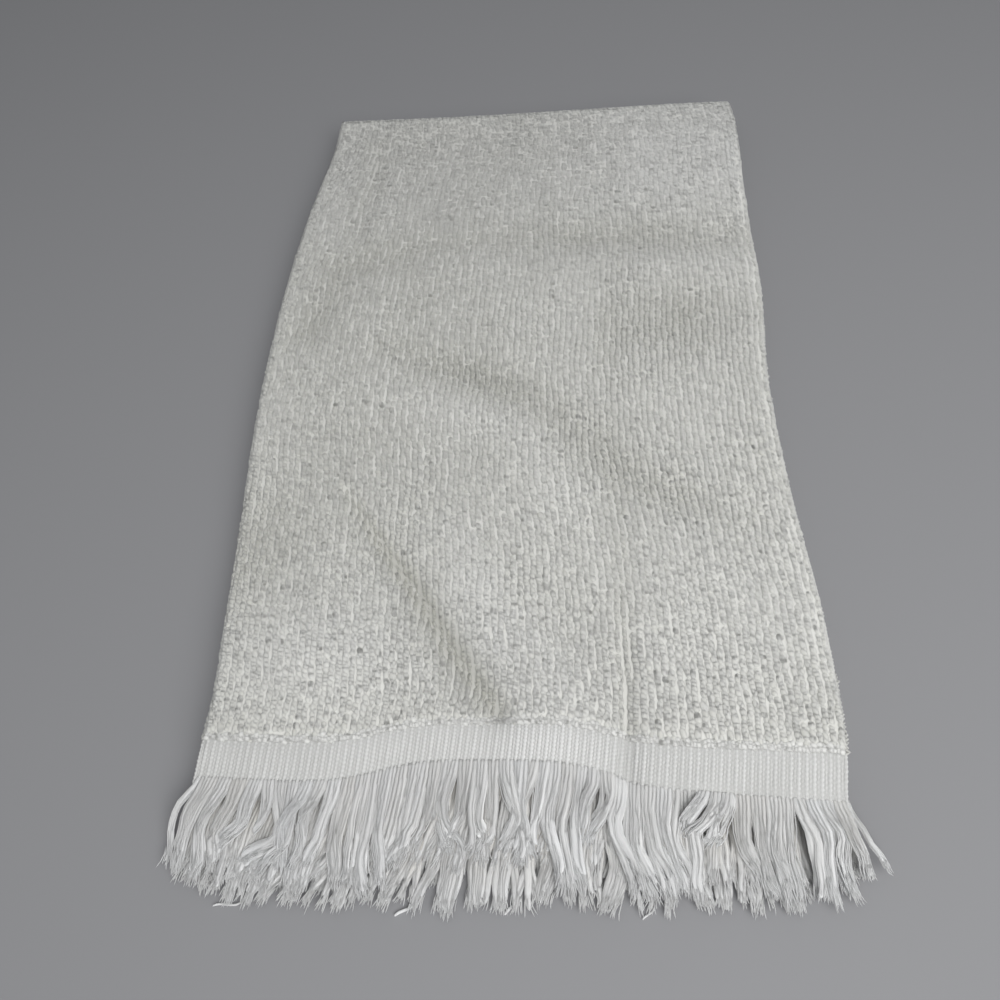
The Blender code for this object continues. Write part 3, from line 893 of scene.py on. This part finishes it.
# The first line of the pile is painted lighter: painted light.
LINE_PAINTED_LIGHT = 0.5
LINE_SOFT = 1.8
outer_line = even(LINE_INSET, PANEL, LINE_STEP)
inner_line = even(PANEL + SIDE_TURN, CLOTH_WIDTH - LINE_INSET, 2 * LINE_STEP)
line_a = np.concatenate([outer_line, inner_line])
line_starts = (HEM_DEPTH, HEM_DEPTH + 0.00035, END_TO_END - HEM_DEPTH)
line_b = np.repeat(line_starts, len(line_a)) + chance.normal(0, LINE_JITTER, len(line_starts) * len(line_a))
place, across, along, out = stand_on(np.tile(line_a, len(line_starts)), line_b, ground_half(line_b))
line_looks = (LINE_HEIGHT, LINE_LENGTH, LINE_PAINTED_LIGHT, LINE_SOFT)
pile_line = stand_loops("pile_line", (place, along, across, out), chance, *line_looks)

# %% [markdown]
# ## The fringe
#
# Each warp end is a soft yarn, barely twisted, whose fibres part at its tip. Neighbouring yarns cling
# together, so the fringe falls as a few dozen locks that curl, cross and part, and one is folded over on
# top of the others. Hair curves are the usual way to make such a thing, but here each lock has its own
# place. So the locks of the top layer are listed one row each in a table: where its roots are, where its
# middle swings to, and where its tip comes to rest. The layers below only show between and beyond them,
# so their locks are drawn from a smooth sweep and chance.

# %% Locks of the top layer
# mm: roots from, roots to, middle x, middle out, middle width, tip x, tip out, tip width, lift. Out is
# counted from the packet's near edge.
TOP_LOCKS = (
    (-104.0, -95.0, -103.6, 8.0, 5.0, -103.4, 22.6, 3.0, 2.0),
    (-95.0, -89.0, -97.4, 9.0, 5.0, -98.8, 24.0, 3.0, 2.4),
    (-89.0, -84.5, -92.6, 10.4, 4.0, -93.4, 24.6, 2.6, 1.9),
    (-84.5, -79.5, -88.0, 11.4, 4.2, -90.0, 22.0, 2.2, 1.4),
    (-79.5, -75.5, -80.4, 8.4, 3.8, -87.4, 16.6, 1.8, 2.0),
    (-75.5, -71.5, -74.2, 9.0, 3.4, -80.4, 15.8, 1.6, 1.6),
    (-71.5, -67.5, -69.4, 12.6, 3.4, -79.0, 20.6, 2.0, 1.2),
    (-67.5, -63.5, -66.8, 12.8, 3.2, -74.0, 22.2, 2.0, 1.5),
    (-63.5, -59.5, -66.4, 9.6, 3.2, -69.4, 22.0, 2.2, 3.0),
    (-59.5, -56.0, -61.6, 9.8, 3.0, -65.0, 21.4, 2.0, 2.4),
    (-56.0, -51.5, -56.6, 11.0, 4.0, -61.4, 21.4, 2.4, 1.5),
    (-51.5, -47.0, -51.8, 12.0, 4.4, -51.6, 25.6, 3.2, 1.8),
    (-47.0, -42.5, -47.0, 12.0, 4.4, -46.8, 26.6, 2.8, 1.5),
    (-42.5, -38.5, -43.0, 12.0, 4.0, -42.4, 29.0, 2.6, 1.3),
    (-38.5, -34.5, -38.8, 10.8, 3.8, -37.2, 25.0, 2.6, 1.7),
    (-34.5, -31.0, -36.4, 11.4, 3.4, -39.4, 21.8, 2.2, 1.9),
    (-31.0, -27.5, -32.6, 10.6, 3.2, -35.6, 18.6, 2.0, 1.5),
    (-27.5, -24.5, -29.8, 8.8, 2.8, -33.0, 17.8, 1.8, 1.7),
    (-24.5, -21.5, -25.6, 6.4, 2.6, -29.0, 15.4, 1.6, 1.9),
    (-21.5, -18.5, -22.4, 6.0, 2.8, -18.8, 16.0, 2.0, 1.0),
    (-18.5, -15.5, -19.2, 5.6, 2.6, -13.6, 15.4, 2.0, 1.3),
    (-15.5, -11.5, -15.0, 5.0, 2.8, -19.0, 15.0, 2.0, 1.7),
    (-11.5, -7.5, -9.8, 7.0, 3.8, -12.0, 15.4, 3.6, 2.3),
    (-7.5, -3.5, -5.4, 7.6, 3.8, -7.4, 13.6, 2.8, 1.9),
    (-3.5, 0.5, 0.8, 3.6, 2.6, -1.2, 15.6, 2.6, 2.8),
    (0.5, 4.5, 3.0, 4.6, 3.0, 1.4, 17.4, 2.2, 2.4),
    (4.5, 8.0, 2.4, 5.6, 2.6, 3.6, 18.4, 1.8, 1.9),
    (8.0, 11.0, 5.6, 5.0, 2.4, 6.4, 17.0, 1.8, 1.5),
    (11.0, 15.0, 11.4, 6.8, 3.6, 13.8, 26.4, 2.0, 1.5),
    (15.0, 19.0, 14.8, 6.0, 3.6, 17.2, 26.8, 2.0, 1.9),
    (19.0, 22.5, 18.2, 5.2, 3.0, 20.6, 25.4, 1.8, 1.6),
    (22.5, 26.0, 22.6, 2.0, 2.6, 18.0, 12.8, 1.8, 2.1),
    (26.0, 29.5, 26.8, 1.0, 2.6, 21.4, 11.6, 1.8, 1.7),
    (29.5, 33.5, 31.0, 9.5, 5.0, 35.6, 26.4, 6.6, 2.2),
    (33.5, 37.5, 34.9, 9.5, 5.0, 41.4, 27.2, 6.6, 2.3),
    (37.5, 41.5, 39.8, 9.8, 3.8, 45.6, 25.6, 3.4, 1.0),
    (41.5, 46.5, 43.8, 9.6, 4.0, 48.8, 25.4, 3.2, 0.9),
    (46.5, 50.0, 47.4, 9.0, 3.2, 50.8, 25.4, 2.8, 0.6),
    (50.0, 54.0, 52.2, 9.4, 3.0, 52.8, 25.8, 2.4, 0.6),
    (54.0, 57.5, 50.6, 4.2, 5.4, 48.6, 8.8, 4.4, 3.6),
    (57.5, 61.0, 54.6, 5.6, 5.8, 51.6, 11.4, 5.4, 4.6),
    (61.0, 64.0, 59.4, 6.4, 5.4, 55.6, 12.6, 5.4, 4.4),
    (64.0, 68.0, 66.0, 10.4, 3.4, 70.6, 21.4, 2.8, 1.8),
    (68.0, 72.5, 70.0, 11.0, 4.4, 73.8, 25.0, 3.8, 2.2),
    (72.5, 76.5, 74.0, 10.6, 4.2, 77.2, 25.4, 3.6, 2.5),
    (76.5, 80.2, 77.4, 9.6, 3.8, 80.2, 25.2, 3.0, 2.2),
    (80.2, 84.0, 85.6, 9.8, 3.4, 86.4, 25.0, 3.0, 1.9),
    (84.0, 87.4, 88.8, 10.0, 3.4, 90.2, 25.6, 3.0, 2.2),
    (87.4, 91.0, 92.4, 9.8, 3.4, 94.6, 23.6, 2.8, 1.9),
    (91.0, 94.4, 96.6, 9.2, 3.2, 99.6, 19.6, 2.6, 2.0),
    (94.4, 98.0, 100.6, 8.4, 3.8, 107.2, 17.0, 5.0, 1.7),
)

# %% [markdown]
# A lock is a handful of yarns that share its middle and tip. A yarn leaves the band straight, swings to
# its middle and hangs on to its tip, so it is drawn as two smooth curves that meet in the middle. A Bezier
# curve object could do that for one yarn, and here one formula does it for all of them at once. The height
# is worked out afterwards: level at the band, then down to what the yarn rests on, with a hump where its
# lock springs up.

# %% From locks to yarns
STRAND_SHARES = np.array((0, 0.025, 0.08, 0.18, 0.30, 0.40, 0.51, 0.62, 0.73, 0.83, 0.91, 0.97, 1.0))
MIDDLE_STEP = 5
ROOT_PULL = 1.3
TIP_OWN, TIP_STRAIGHT = 0.6, 0.4


def swing(root, middle, tip):
    """Smooth curves that leave each root straight out, pass its middle and hang on to its tip."""
    first = np.linalg.norm(middle - root, axis=-1)[:, None]
    second = np.linalg.norm(tip - middle, axis=-1)[:, None]
    straight = np.array((0.0, -1.0, 0.0))
    heading = unit(tip - root)
    arrive = unit(TIP_OWN * unit(tip - middle) + TIP_STRAIGHT * straight) * second
    split = STRAND_SHARES[MIDDLE_STEP]
    to_middle = STRAND_SHARES[: MIDDLE_STEP + 1] / split
    to_tip = (STRAND_SHARES[MIDDLE_STEP + 1 :] - split) / (1 - split)
    legs = []
    for start, end, slope_in, slope_out, t in (
        (root, middle, ROOT_PULL * first * straight, heading * first, to_middle),
        (middle, tip, heading * second, arrive, to_tip),
    ):
        t = t[None, :, None]
        legs.append(
            (2 * t**3 - 3 * t**2 + 1) * start[:, None]
            + (t**3 - 2 * t**2 + t) * slope_in[:, None]
            + (3 * t**2 - 2 * t**3) * end[:, None]
            + (t**3 - t**2) * slope_out[:, None]
        )
    return np.concatenate(legs, axis=1)


# %% Height of the yarns
FALL_START = 0.0022
FALL_REACH = 0.018


def fall(paths, hem_height, rest, lift):
    """Gives flat curves their height: level at the root, down to rest, with a hump of the given lift."""
    step = np.linalg.norm(np.diff(paths[..., :2], axis=1), axis=-1)
    gone = np.concatenate([np.zeros((len(paths), 1)), np.cumsum(step, axis=1)], axis=1)
    share = gone / gone[:, -1:]
    down = ease((gone - FALL_START) / FALL_REACH)
    paths[..., 2] = hem_height[:, None] + (rest - hem_height)[:, None] * down
    paths[..., 2] += lift[:, None] * np.sin(math.pi * share) ** 1.5
    return paths


# %% [markdown]
# A fringe yarn is almost untwisted, so it is thick and soft. It is made of three things: a flat wide tube
# that gives the lock its body, finer strands that lie on it for the silky grain, and a tuft of short
# fibres that fray out of its end.
#
# A lock is one soft bundle and has to shade as one. So the normals of all its tubes are bent towards those
# of a round lock (`lean` is where a yarn lies in it, -1 to 1 across), and each lock has a tone of its own.
# Every strand is painted lighter towards its tip, where the fibres part and let the light in, and darker at
# its root: painted light and painted shade.

# %% Body of a yarn
BODY_WIDE = 0.00094
BODY_HIGH = 0.00034
BODY_SWELL = np.array((0.0, 0.75, 1.00, 1.05, 1.02, 1.02, 1.04, 1.02, 0.97, 0.88, 0.74, 0.50, 0.0))
BODY_SHORTER = (0.05, 0.19)


def bodies_of(yarns, chance):
    """Each yarn's own path, cut a little short, and another bit for each."""
    share = STRAND_SHARES[None, :, None]
    kept = 1 - chance.uniform(*BODY_SHORTER, len(yarns))[:, None, None] * share
    return yarns[:, :1] + (yarns - yarns[:, :1]) * kept


# %% Fine strands of a yarn
FINE_WIDE = 0.00020
FINE_HIGH = 0.00010
FINE_SWELL = np.array((0.0, 0.7, 0.9, 1.0, 1.0, 1.0, 1.05, 1.1, 1.15, 1.15, 1.05, 0.75, 0.0))
FINE_LIFT = 0.00014
FINE_LOOSE = 0.0001
FINE_DRIFT = 0.00030
FINE_SHORTER = 0.13


def fine_strands_of(yarns, strands, chance):
    """Fine strands that lie side by side on each yarn, drift a little and part towards its tip."""
    count = len(yarns)
    side = unit(np.cross(unit(np.gradient(yarns, axis=1)), (0.0, 0.0, 1.0)))
    share = STRAND_SHARES
    spread = 1 + 0.4 * share**3
    paths = []
    for strand in range(strands):
        place = ((strand + 0.5) / strands - 0.5) * 2 * BODY_WIDE + chance.normal(0, FINE_LOOSE, count)
        waves, phase = chance.uniform(0.8, 2.6, (count, 1)), chance.uniform(0, 3, (count, 1))
        wave = np.sin(math.pi * share * waves + phase)
        drift = chance.normal(0, FINE_DRIFT, (count, 1)) * wave * ease(share * 4)
        path = yarns + side * (place[:, None] * spread + drift)[..., None]
        path[..., 2] += FINE_LIFT * ease(share * 5) * ease((1 - share) * 3)
        path[..., 2] += chance.normal(0, FINE_LOOSE, (count, 1)) * share
        kept = 1 + chance.uniform(-FINE_SHORTER, 0.0, count)[:, None, None] * share[None, :, None]
        paths.append(path[:, :1] + (path - path[:, :1]) * kept)
    return np.concatenate(paths)


# %% Frayed tip of a yarn
TUFT_FROM = 8
TUFT_WIDE = 0.00019
TUFT_SWELL = np.array((0.0, 1.0, 1.0, 0.8, 0.0))
TUFT_FAN = 0.008
TUFT_LIFT = 0.0001
TUFT_LOOSE = 0.00022
TUFT_KEPT = (0.62, 1.03)


def tufts_of(yarns, tufts, chance):
    """Short fibres that fan out from the end of each yarn and make its tip fray away."""
    count = len(yarns)
    ends = yarns[:, TUFT_FROM:]
    side = unit(np.cross(unit(np.gradient(ends, axis=1)), (0.0, 0.0, 1.0)))
    share = STRAND_SHARES[TUFT_FROM:] - STRAND_SHARES[TUFT_FROM]
    paths = []
    for tuft in range(tufts):
        place = ((tuft + chance.random((count, 1))) / tufts - 0.5) * 1.7 * BODY_WIDE
        fan = place * 0.5 * share / share[-1] + chance.normal(0, TUFT_FAN, (count, 1)) * share**2
        path = ends + side * (place + fan)[..., None]
        path[..., 2] += TUFT_LIFT + chance.normal(0, TUFT_LOOSE, (count, 1)) * share / share[-1]
        kept = chance.uniform(*TUFT_KEPT, count)[:, None, None]
        paths.append(path[:, :1] + (path - path[:, :1]) * kept)
    return np.concatenate(paths)


# %% Tubes along strands, with the looks of their lock
LOCK_FLUFF = 1.0
LOCK_ROUND = 0.6
STRAND_UNEVEN = 0.12
STRAND_TONE = 0.03
ROOT_PAINTED_SHADE = -0.04
TIP_PAINTED_LIGHT = 0.36


def strand_mesh(paths, wide, high, swell, sides, looks, chance):
    """Tubes along paths, with painted light towards the tip, shaded as parts of the round lock they lie in.
    """
    tone, lean = (np.tile(look, len(paths) // len(look))[:, None] for look in looks)
    shares = STRAND_SHARES[-paths.shape[1] :]
    side = unit(np.cross(paths[:, -1] - paths[:, 0], (0.0, 0.0, 1.0)))[:, None]
    bulk = chance.normal(1, STRAND_UNEVEN, (len(paths), 1)) * swell
    points, faces, fibre = tubes(paths, side, wide * bulk, high * bulk, sides)
    share = np.concatenate([shares[:1], np.repeat(shares[1:-1], sides), shares[-1:]])
    tone = tone * (1.2 - share) + chance.normal(0, STRAND_TONE, (len(paths), 1))
    # Painted shade at the root and painted light towards the tip.
    tone = tone + ROOT_PAINTED_SHADE + TIP_PAINTED_LIGHT * share
    round_lock = LOCK_FLUFF * (np.array((0.0, -0.2, 1.0)) - LOCK_ROUND * lean[..., None] * side)
    fluff = np.repeat(round_lock[:, 0], len(share), axis=0)
    return points, faces, fibre, tone.ravel(), fluff


# %% Yarns of the top layer, lock by lock
ROOT_RISE = 0.0002
MIDDLE_DRAW = 0.78
TIP_DRAW = 0.85
LOCK_CURL = 0.0009
CURL_TURNS = 1.1
YARN_WAVE = 0.00022
WAVE_TURNS = 2.3
LOCK_TONE = 0.11
LIFT_PAINTED_LIGHT = 0.05

# How unevenly the yarns of one lock lie, in mm: middle across, middle out, tip across, tip out, height.
YARN_JITTER = (0.25, 0.4, 0.35, 0.8, 0.4)
TOP_REST = 3.6


def hem_roots(inner, upper):
    """Roots of one layer's yarns, tucked into the band's edge, in the packet."""
    lines = yarn_lines[yarn_lines < PANEL - 0.0004]
    a = CLOTH_WIDTH - lines if inner else lines
    start = (band_start(a) if upper else 0 * a) + YARN_TUCK
    return fold(a, start if upper else END_TO_END - start, ROOT_RISE)


def top_yarns(chance):
    """Yarns of the locks in the table, with a tone and a place in its lock for each."""
    roots = hem_roots(False, True)
    yarns, tones, leans = [], [], []
    for start, end, mid_x, mid_out, mid_wide, tip_x, tip_out, tip_wide, lift in TOP_LOCKS:
        mine = roots[(roots[:, 0] >= start * MM) & (roots[:, 0] < end * MM)]
        place = (mine[:, 0] / MM - start) / (end - start) - 0.5
        jitter = chance.normal(0, 1, (5, len(mine))) * np.array(YARN_JITTER)[:, None]
        middle = mine.copy()
        middle[:, 0] = (mid_x + place * mid_wide * MIDDLE_DRAW + jitter[0]) * MM
        middle[:, 1] = NEAR_EDGE - (mid_out + jitter[1]) * MM
        tip = mine.copy()
        tip[:, 0] = (tip_x + place * tip_wide * TIP_DRAW + jitter[2]) * MM
        tip[:, 1] = NEAR_EDGE - (tip_out + jitter[3]) * MM
        paths = swing(mine, middle, tip)
        curl = LOCK_CURL * np.clip(chance.normal(), -1.2, 1.2)
        curl = curl * np.sin(2 * math.pi * (CURL_TURNS * STRAND_SHARES + chance.random()))
        wave = np.sin(2 * math.pi * (WAVE_TURNS * STRAND_SHARES + chance.random((len(mine), 1))))
        paths[..., 0] += (curl + YARN_WAVE * wave) * ease(STRAND_SHARES * 3)
        rest = (TOP_REST + jitter[4]) * MM
        yarns.append(fall(paths, mine[:, 2], rest, np.full(len(mine), lift * MM)))
        # A lock that springs up higher is painted lighter: painted light.
        tones.append(np.full(len(mine), LOCK_TONE * chance.normal() + LIFT_PAINTED_LIGHT * lift))
        leans.append(2 * place)
    return np.concatenate(yarns), (np.concatenate(tones), np.concatenate(leans))


# %% [markdown]
# Under the top locks lie the fringes of three more layers, and a few threads have come loose and lie
# beyond them. The layers show only between the locks and past their tips, so locks listed one by one
# would be wasted on them: each layer takes its sweep from one table, and chance gathers its yarns into
# small locks. The stray threads are listed one by one, because each of them can be seen.

# %% A few stray threads
# mm: start x, start out, middle x, middle out, end x, end out. They lie on the floor past the tips.
STRAYS = (
    (-76.0, 22.0, -78.5, 30.0, -87.0, 31.4),
    (-25.0, 23.0, -28.0, 29.0, -33.0, 32.0),
    (3.0, 21.0, 2.0, 26.5, -1.5, 30.6),
    (37.0, 22.0, 40.5, 27.0, 37.0, 30.4),
)
STRAY_LEVEL = 0.0007
STRAY_WIDE = 0.00032


def stray_threads():
    """Curves of the stray threads, lying on the floor."""
    points = np.array(STRAYS).reshape(-1, 3, 2) * MM
    level = np.full((*points.shape[:2], 1), STRAY_LEVEL)
    points = np.concatenate([points[..., :1], NEAR_EDGE - points[..., 1:], level], axis=-1)
    return swing(points[:, 0], points[:, 1], points[:, 2])


# %% Yarns of the layers below
# Where the lower fringe is swept, in mm: root's place across, shift of the tip to the right, length.
SWEEP = (
    (-100, -3.0, 21.0),
    (-88, -5.0, 23.5),
    (-75, -7.0, 26.0),
    (-50, -8.5, 26.5),
    (-25, -8.0, 26.0),
    (-6, -5.0, 26.0),
    (6, -3.0, 24.5),
    (18, -2.0, 23.8),
    (34, 0.5, 23.8),
    (50, 1.5, 23.2),
    (66, 2.5, 22.6),
    (80, 3.0, 22.4),
    (90, 4.5, 21.0),
    (98, 7.5, 18.5),
)
# The hidden layers are painted darker: painted shade under the top locks.
UNDER_PAINTED_SHADE = -0.24
UNDER_TURNS = 2.0
NEXT_LOCK_CHANCE = 0.34

# Of a small lock: how much its yarns draw together at the middle and at the tip, and in mm how far it
# leans aside at the tip and at the middle, and how unevenly its locks and its yarns end.
UNDER_DRAW = (0.7, 0.45)
UNDER_LEAN = (1.7, -0.8)
UNDER_ENDS = (1.2, 0.6)


def lower_yarns(inner, upper, longer, rest, chance):
    """One hidden layer's yarns, drawn together into small locks of their own."""
    roots = hem_roots(inner, upper)
    roots = roots[np.argsort(roots[:, 0])]
    lock = np.cumsum(chance.random(len(roots)) < NEXT_LOCK_CHANCE)
    lean, reach, lift = np.clip(chance.normal(0, 1, (3, lock[-1] + 1)), -1.6, 1.1)
    centre = np.bincount(lock, roots[:, 0]) / np.maximum(np.bincount(lock), 1)
    place = roots[:, 0] - centre[lock]
    sweep = read(SWEEP, 1, roots[:, 0] / MM) * MM
    length = read(SWEEP, 2, roots[:, 0] / MM) + longer
    out = (length + UNDER_ENDS[0] * reach[lock] + chance.normal(0, UNDER_ENDS[1], len(roots))) * MM
    tip = roots.copy()
    tip[:, 0] = centre[lock] + place * UNDER_DRAW[1] + sweep + UNDER_LEAN[0] * MM * lean[lock]
    tip[:, 1] = roots[:, 1] - np.sqrt(np.maximum(out**2 - sweep**2, 1e-6))
    middle = (roots + tip) / 2
    middle[:, 0] = centre[lock] + place * UNDER_DRAW[0] + sweep * 0.4 + UNDER_LEAN[1] * MM * lean[lock]
    paths = swing(roots, middle, tip)
    humps = np.abs(0.5 * lift[lock] + 0.3) * MM
    wave = np.sin(2 * math.pi * (UNDER_TURNS * STRAND_SHARES + chance.random((len(roots), 1))))
    paths[..., 0] += YARN_WAVE * wave * ease(STRAND_SHARES * 3)
    tones = UNDER_PAINTED_SHADE + LOCK_TONE * reach[lock]
    half_lock = YARN_PITCH * np.bincount(lock)[lock] / 2
    return fall(paths, roots[:, 2], np.full(len(roots), rest * MM), humps), (tones, place / half_lock)


# %% [markdown]
# Each end's fringe is one piece, as its solid is, with the bodies, strands and tufts of all its yarns. The
# layers that hardly show have fewer strands with fewer sides. The loose threads go with the lower end.

# %% The fringe as two pieces
FRINGE_SEED = 8
fringe_chance = np.random.default_rng(FRINGE_SEED)


def fringe_piece(name, layers, extra, chance):
    """layers: the yarns of each layer with their looks, then sides, fine strands and tufts of a yarn."""
    bundles = list(extra)
    for (yarns, looks), sides, strands, tufts in layers:
        fine, frayed = fine_strands_of(yarns, strands, chance), tufts_of(yarns, tufts, chance)
        bundles += [
            strand_mesh(bodies_of(yarns, chance), BODY_WIDE, BODY_HIGH, BODY_SWELL, sides, looks, chance),
            strand_mesh(fine, FINE_WIDE, FINE_HIGH, FINE_SWELL, 3, looks, chance),
            strand_mesh(frayed, TUFT_WIDE, 0.6 * TUFT_WIDE, TUFT_SWELL, 3, looks, chance),
        ]
    points, faces, fibres, tones, fluffs = zip(*bundles)
    firsts = np.cumsum([0, *(len(part) for part in points[:-1])])
    faces = [part + first for part, first in zip(faces, firsts)]
    points, faces, fibres, tones, fluffs = (
        np.concatenate(parts) for parts in (points, faces, fibres, tones, fluffs)
    )
    return new_piece(name, points, faces, FRINGE_COTTON, tones, fibres, fluffs)


fringe_upper = fringe_piece(
    "fringe_upper",
    [
        (top_yarns(fringe_chance), 6, 5, 7),
        (lower_yarns(True, True, 0.0, 3.0, fringe_chance), 4, 2, 5),
    ],
    [],
    fringe_chance,
)
no_looks = (np.zeros(1), np.zeros(1))
strays = strand_mesh(stray_threads(), STRAY_WIDE, STRAY_WIDE, FINE_SWELL, 4, no_looks, fringe_chance)
fringe_lower = fringe_piece(
    "fringe_lower",
    [
        (lower_yarns(True, False, 0.5, 1.8, fringe_chance), 4, 1, 5),
        (lower_yarns(False, False, 1.0, 0.7, fringe_chance), 4, 1, 5),
    ],
    [strays],
    fringe_chance,
)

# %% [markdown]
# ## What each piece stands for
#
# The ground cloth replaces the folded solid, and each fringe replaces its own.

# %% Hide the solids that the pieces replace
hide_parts("towel_cloth")
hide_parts("fringe_upper_end")
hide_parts("fringe_lower_end")

# %% [markdown]
# ## Floor, light and camera
#
# The towel lies on a plain grey floor. Soft light comes from above and from the viewer's side, so the
# band and the fringe are the brightest parts and the cloth greys gently towards the far fold. Two big
# area lights and a pale world do that without any hard shadow.

# %% Floor
bpy.ops.mesh.primitive_plane_add(size=6, location=(0, 0, 0))
floor = bpy.context.object
floor.name = "floor"
floor_finish = bpy.data.materials.new("grey_floor")
floor_finish.use_nodes = True
floor_shader = floor_finish.node_tree.nodes["Principled BSDF"]
floor_shader.inputs["Base Color"].default_value = (0.31, 0.31, 0.32, 1)
floor_shader.inputs["Roughness"].default_value = 0.7
floor.data.materials.append(floor_finish)


# %% Lights
def soft_light(name, place, target, size, watts):
    """A round area light that faces its target."""
    light = bpy.data.lights.new(name, "AREA")
    light.shape = "DISK"
    light.size = size
    light.energy = watts
    lamp = bpy.data.objects.new(name, light)
    lamp.location = place
    lamp.rotation_euler = (Vector(target) - Vector(place)).to_track_quat("-Z", "Y").to_euler()
    bpy.context.scene.collection.objects.link(lamp)


soft_light("key", (0.32, -0.52, 0.70), (0, -0.05, 0), 0.9, 6.7)
soft_light("fill", (-0.1, 0.0, 0.9), (0, 0, 0), 0.8, 0.5)
world = bpy.data.worlds.new("pale_room")
world.use_nodes = True
world.node_tree.nodes["Background"].inputs["Color"].default_value = (0.95, 0.97, 1.0, 1)
world.node_tree.nodes["Background"].inputs["Strength"].default_value = 0.25
bpy.context.scene.world = world

# %% [markdown]
# The camera is where the photograph was taken from: 26 cm up and just beyond the tips of the fringe,
# looking steeply down and rolled a little. Place and angles come from the four corners of the packet,
# whose sides are known lengths.

# %% Camera
CAMERA_PLACE = (0.0191, -0.2038, 0.2590)
CAMERA_HEADING = math.radians(10.286)
CAMERA_DOWN = math.radians(59.157)
CAMERA_ROLL = math.radians(-9.191)
FOCAL_SHARE = 0.820
SENSOR = 36.0
camera_data = bpy.data.cameras.new("viewer")
camera_data.sensor_width = SENSOR
camera_data.lens = FOCAL_SHARE * SENSOR
camera_data.clip_start = 0.01
camera = bpy.data.objects.new("viewer", camera_data)
camera.matrix_world = (
    Matrix.Translation(CAMERA_PLACE)
    @ Matrix.Rotation(CAMERA_HEADING, 4, "Z")
    @ Matrix.Rotation(math.pi / 2 - CAMERA_DOWN, 4, "X")
    @ Matrix.Rotation(CAMERA_ROLL, 4, "Z")
)
bpy.context.scene.collection.objects.link(camera)
bpy.context.scene.camera = camera
bpy.context.scene.view_settings.view_transform = "Standard"
print(f"camera at {CAMERA_PLACE}, lens {camera_data.lens:.1f} mm")
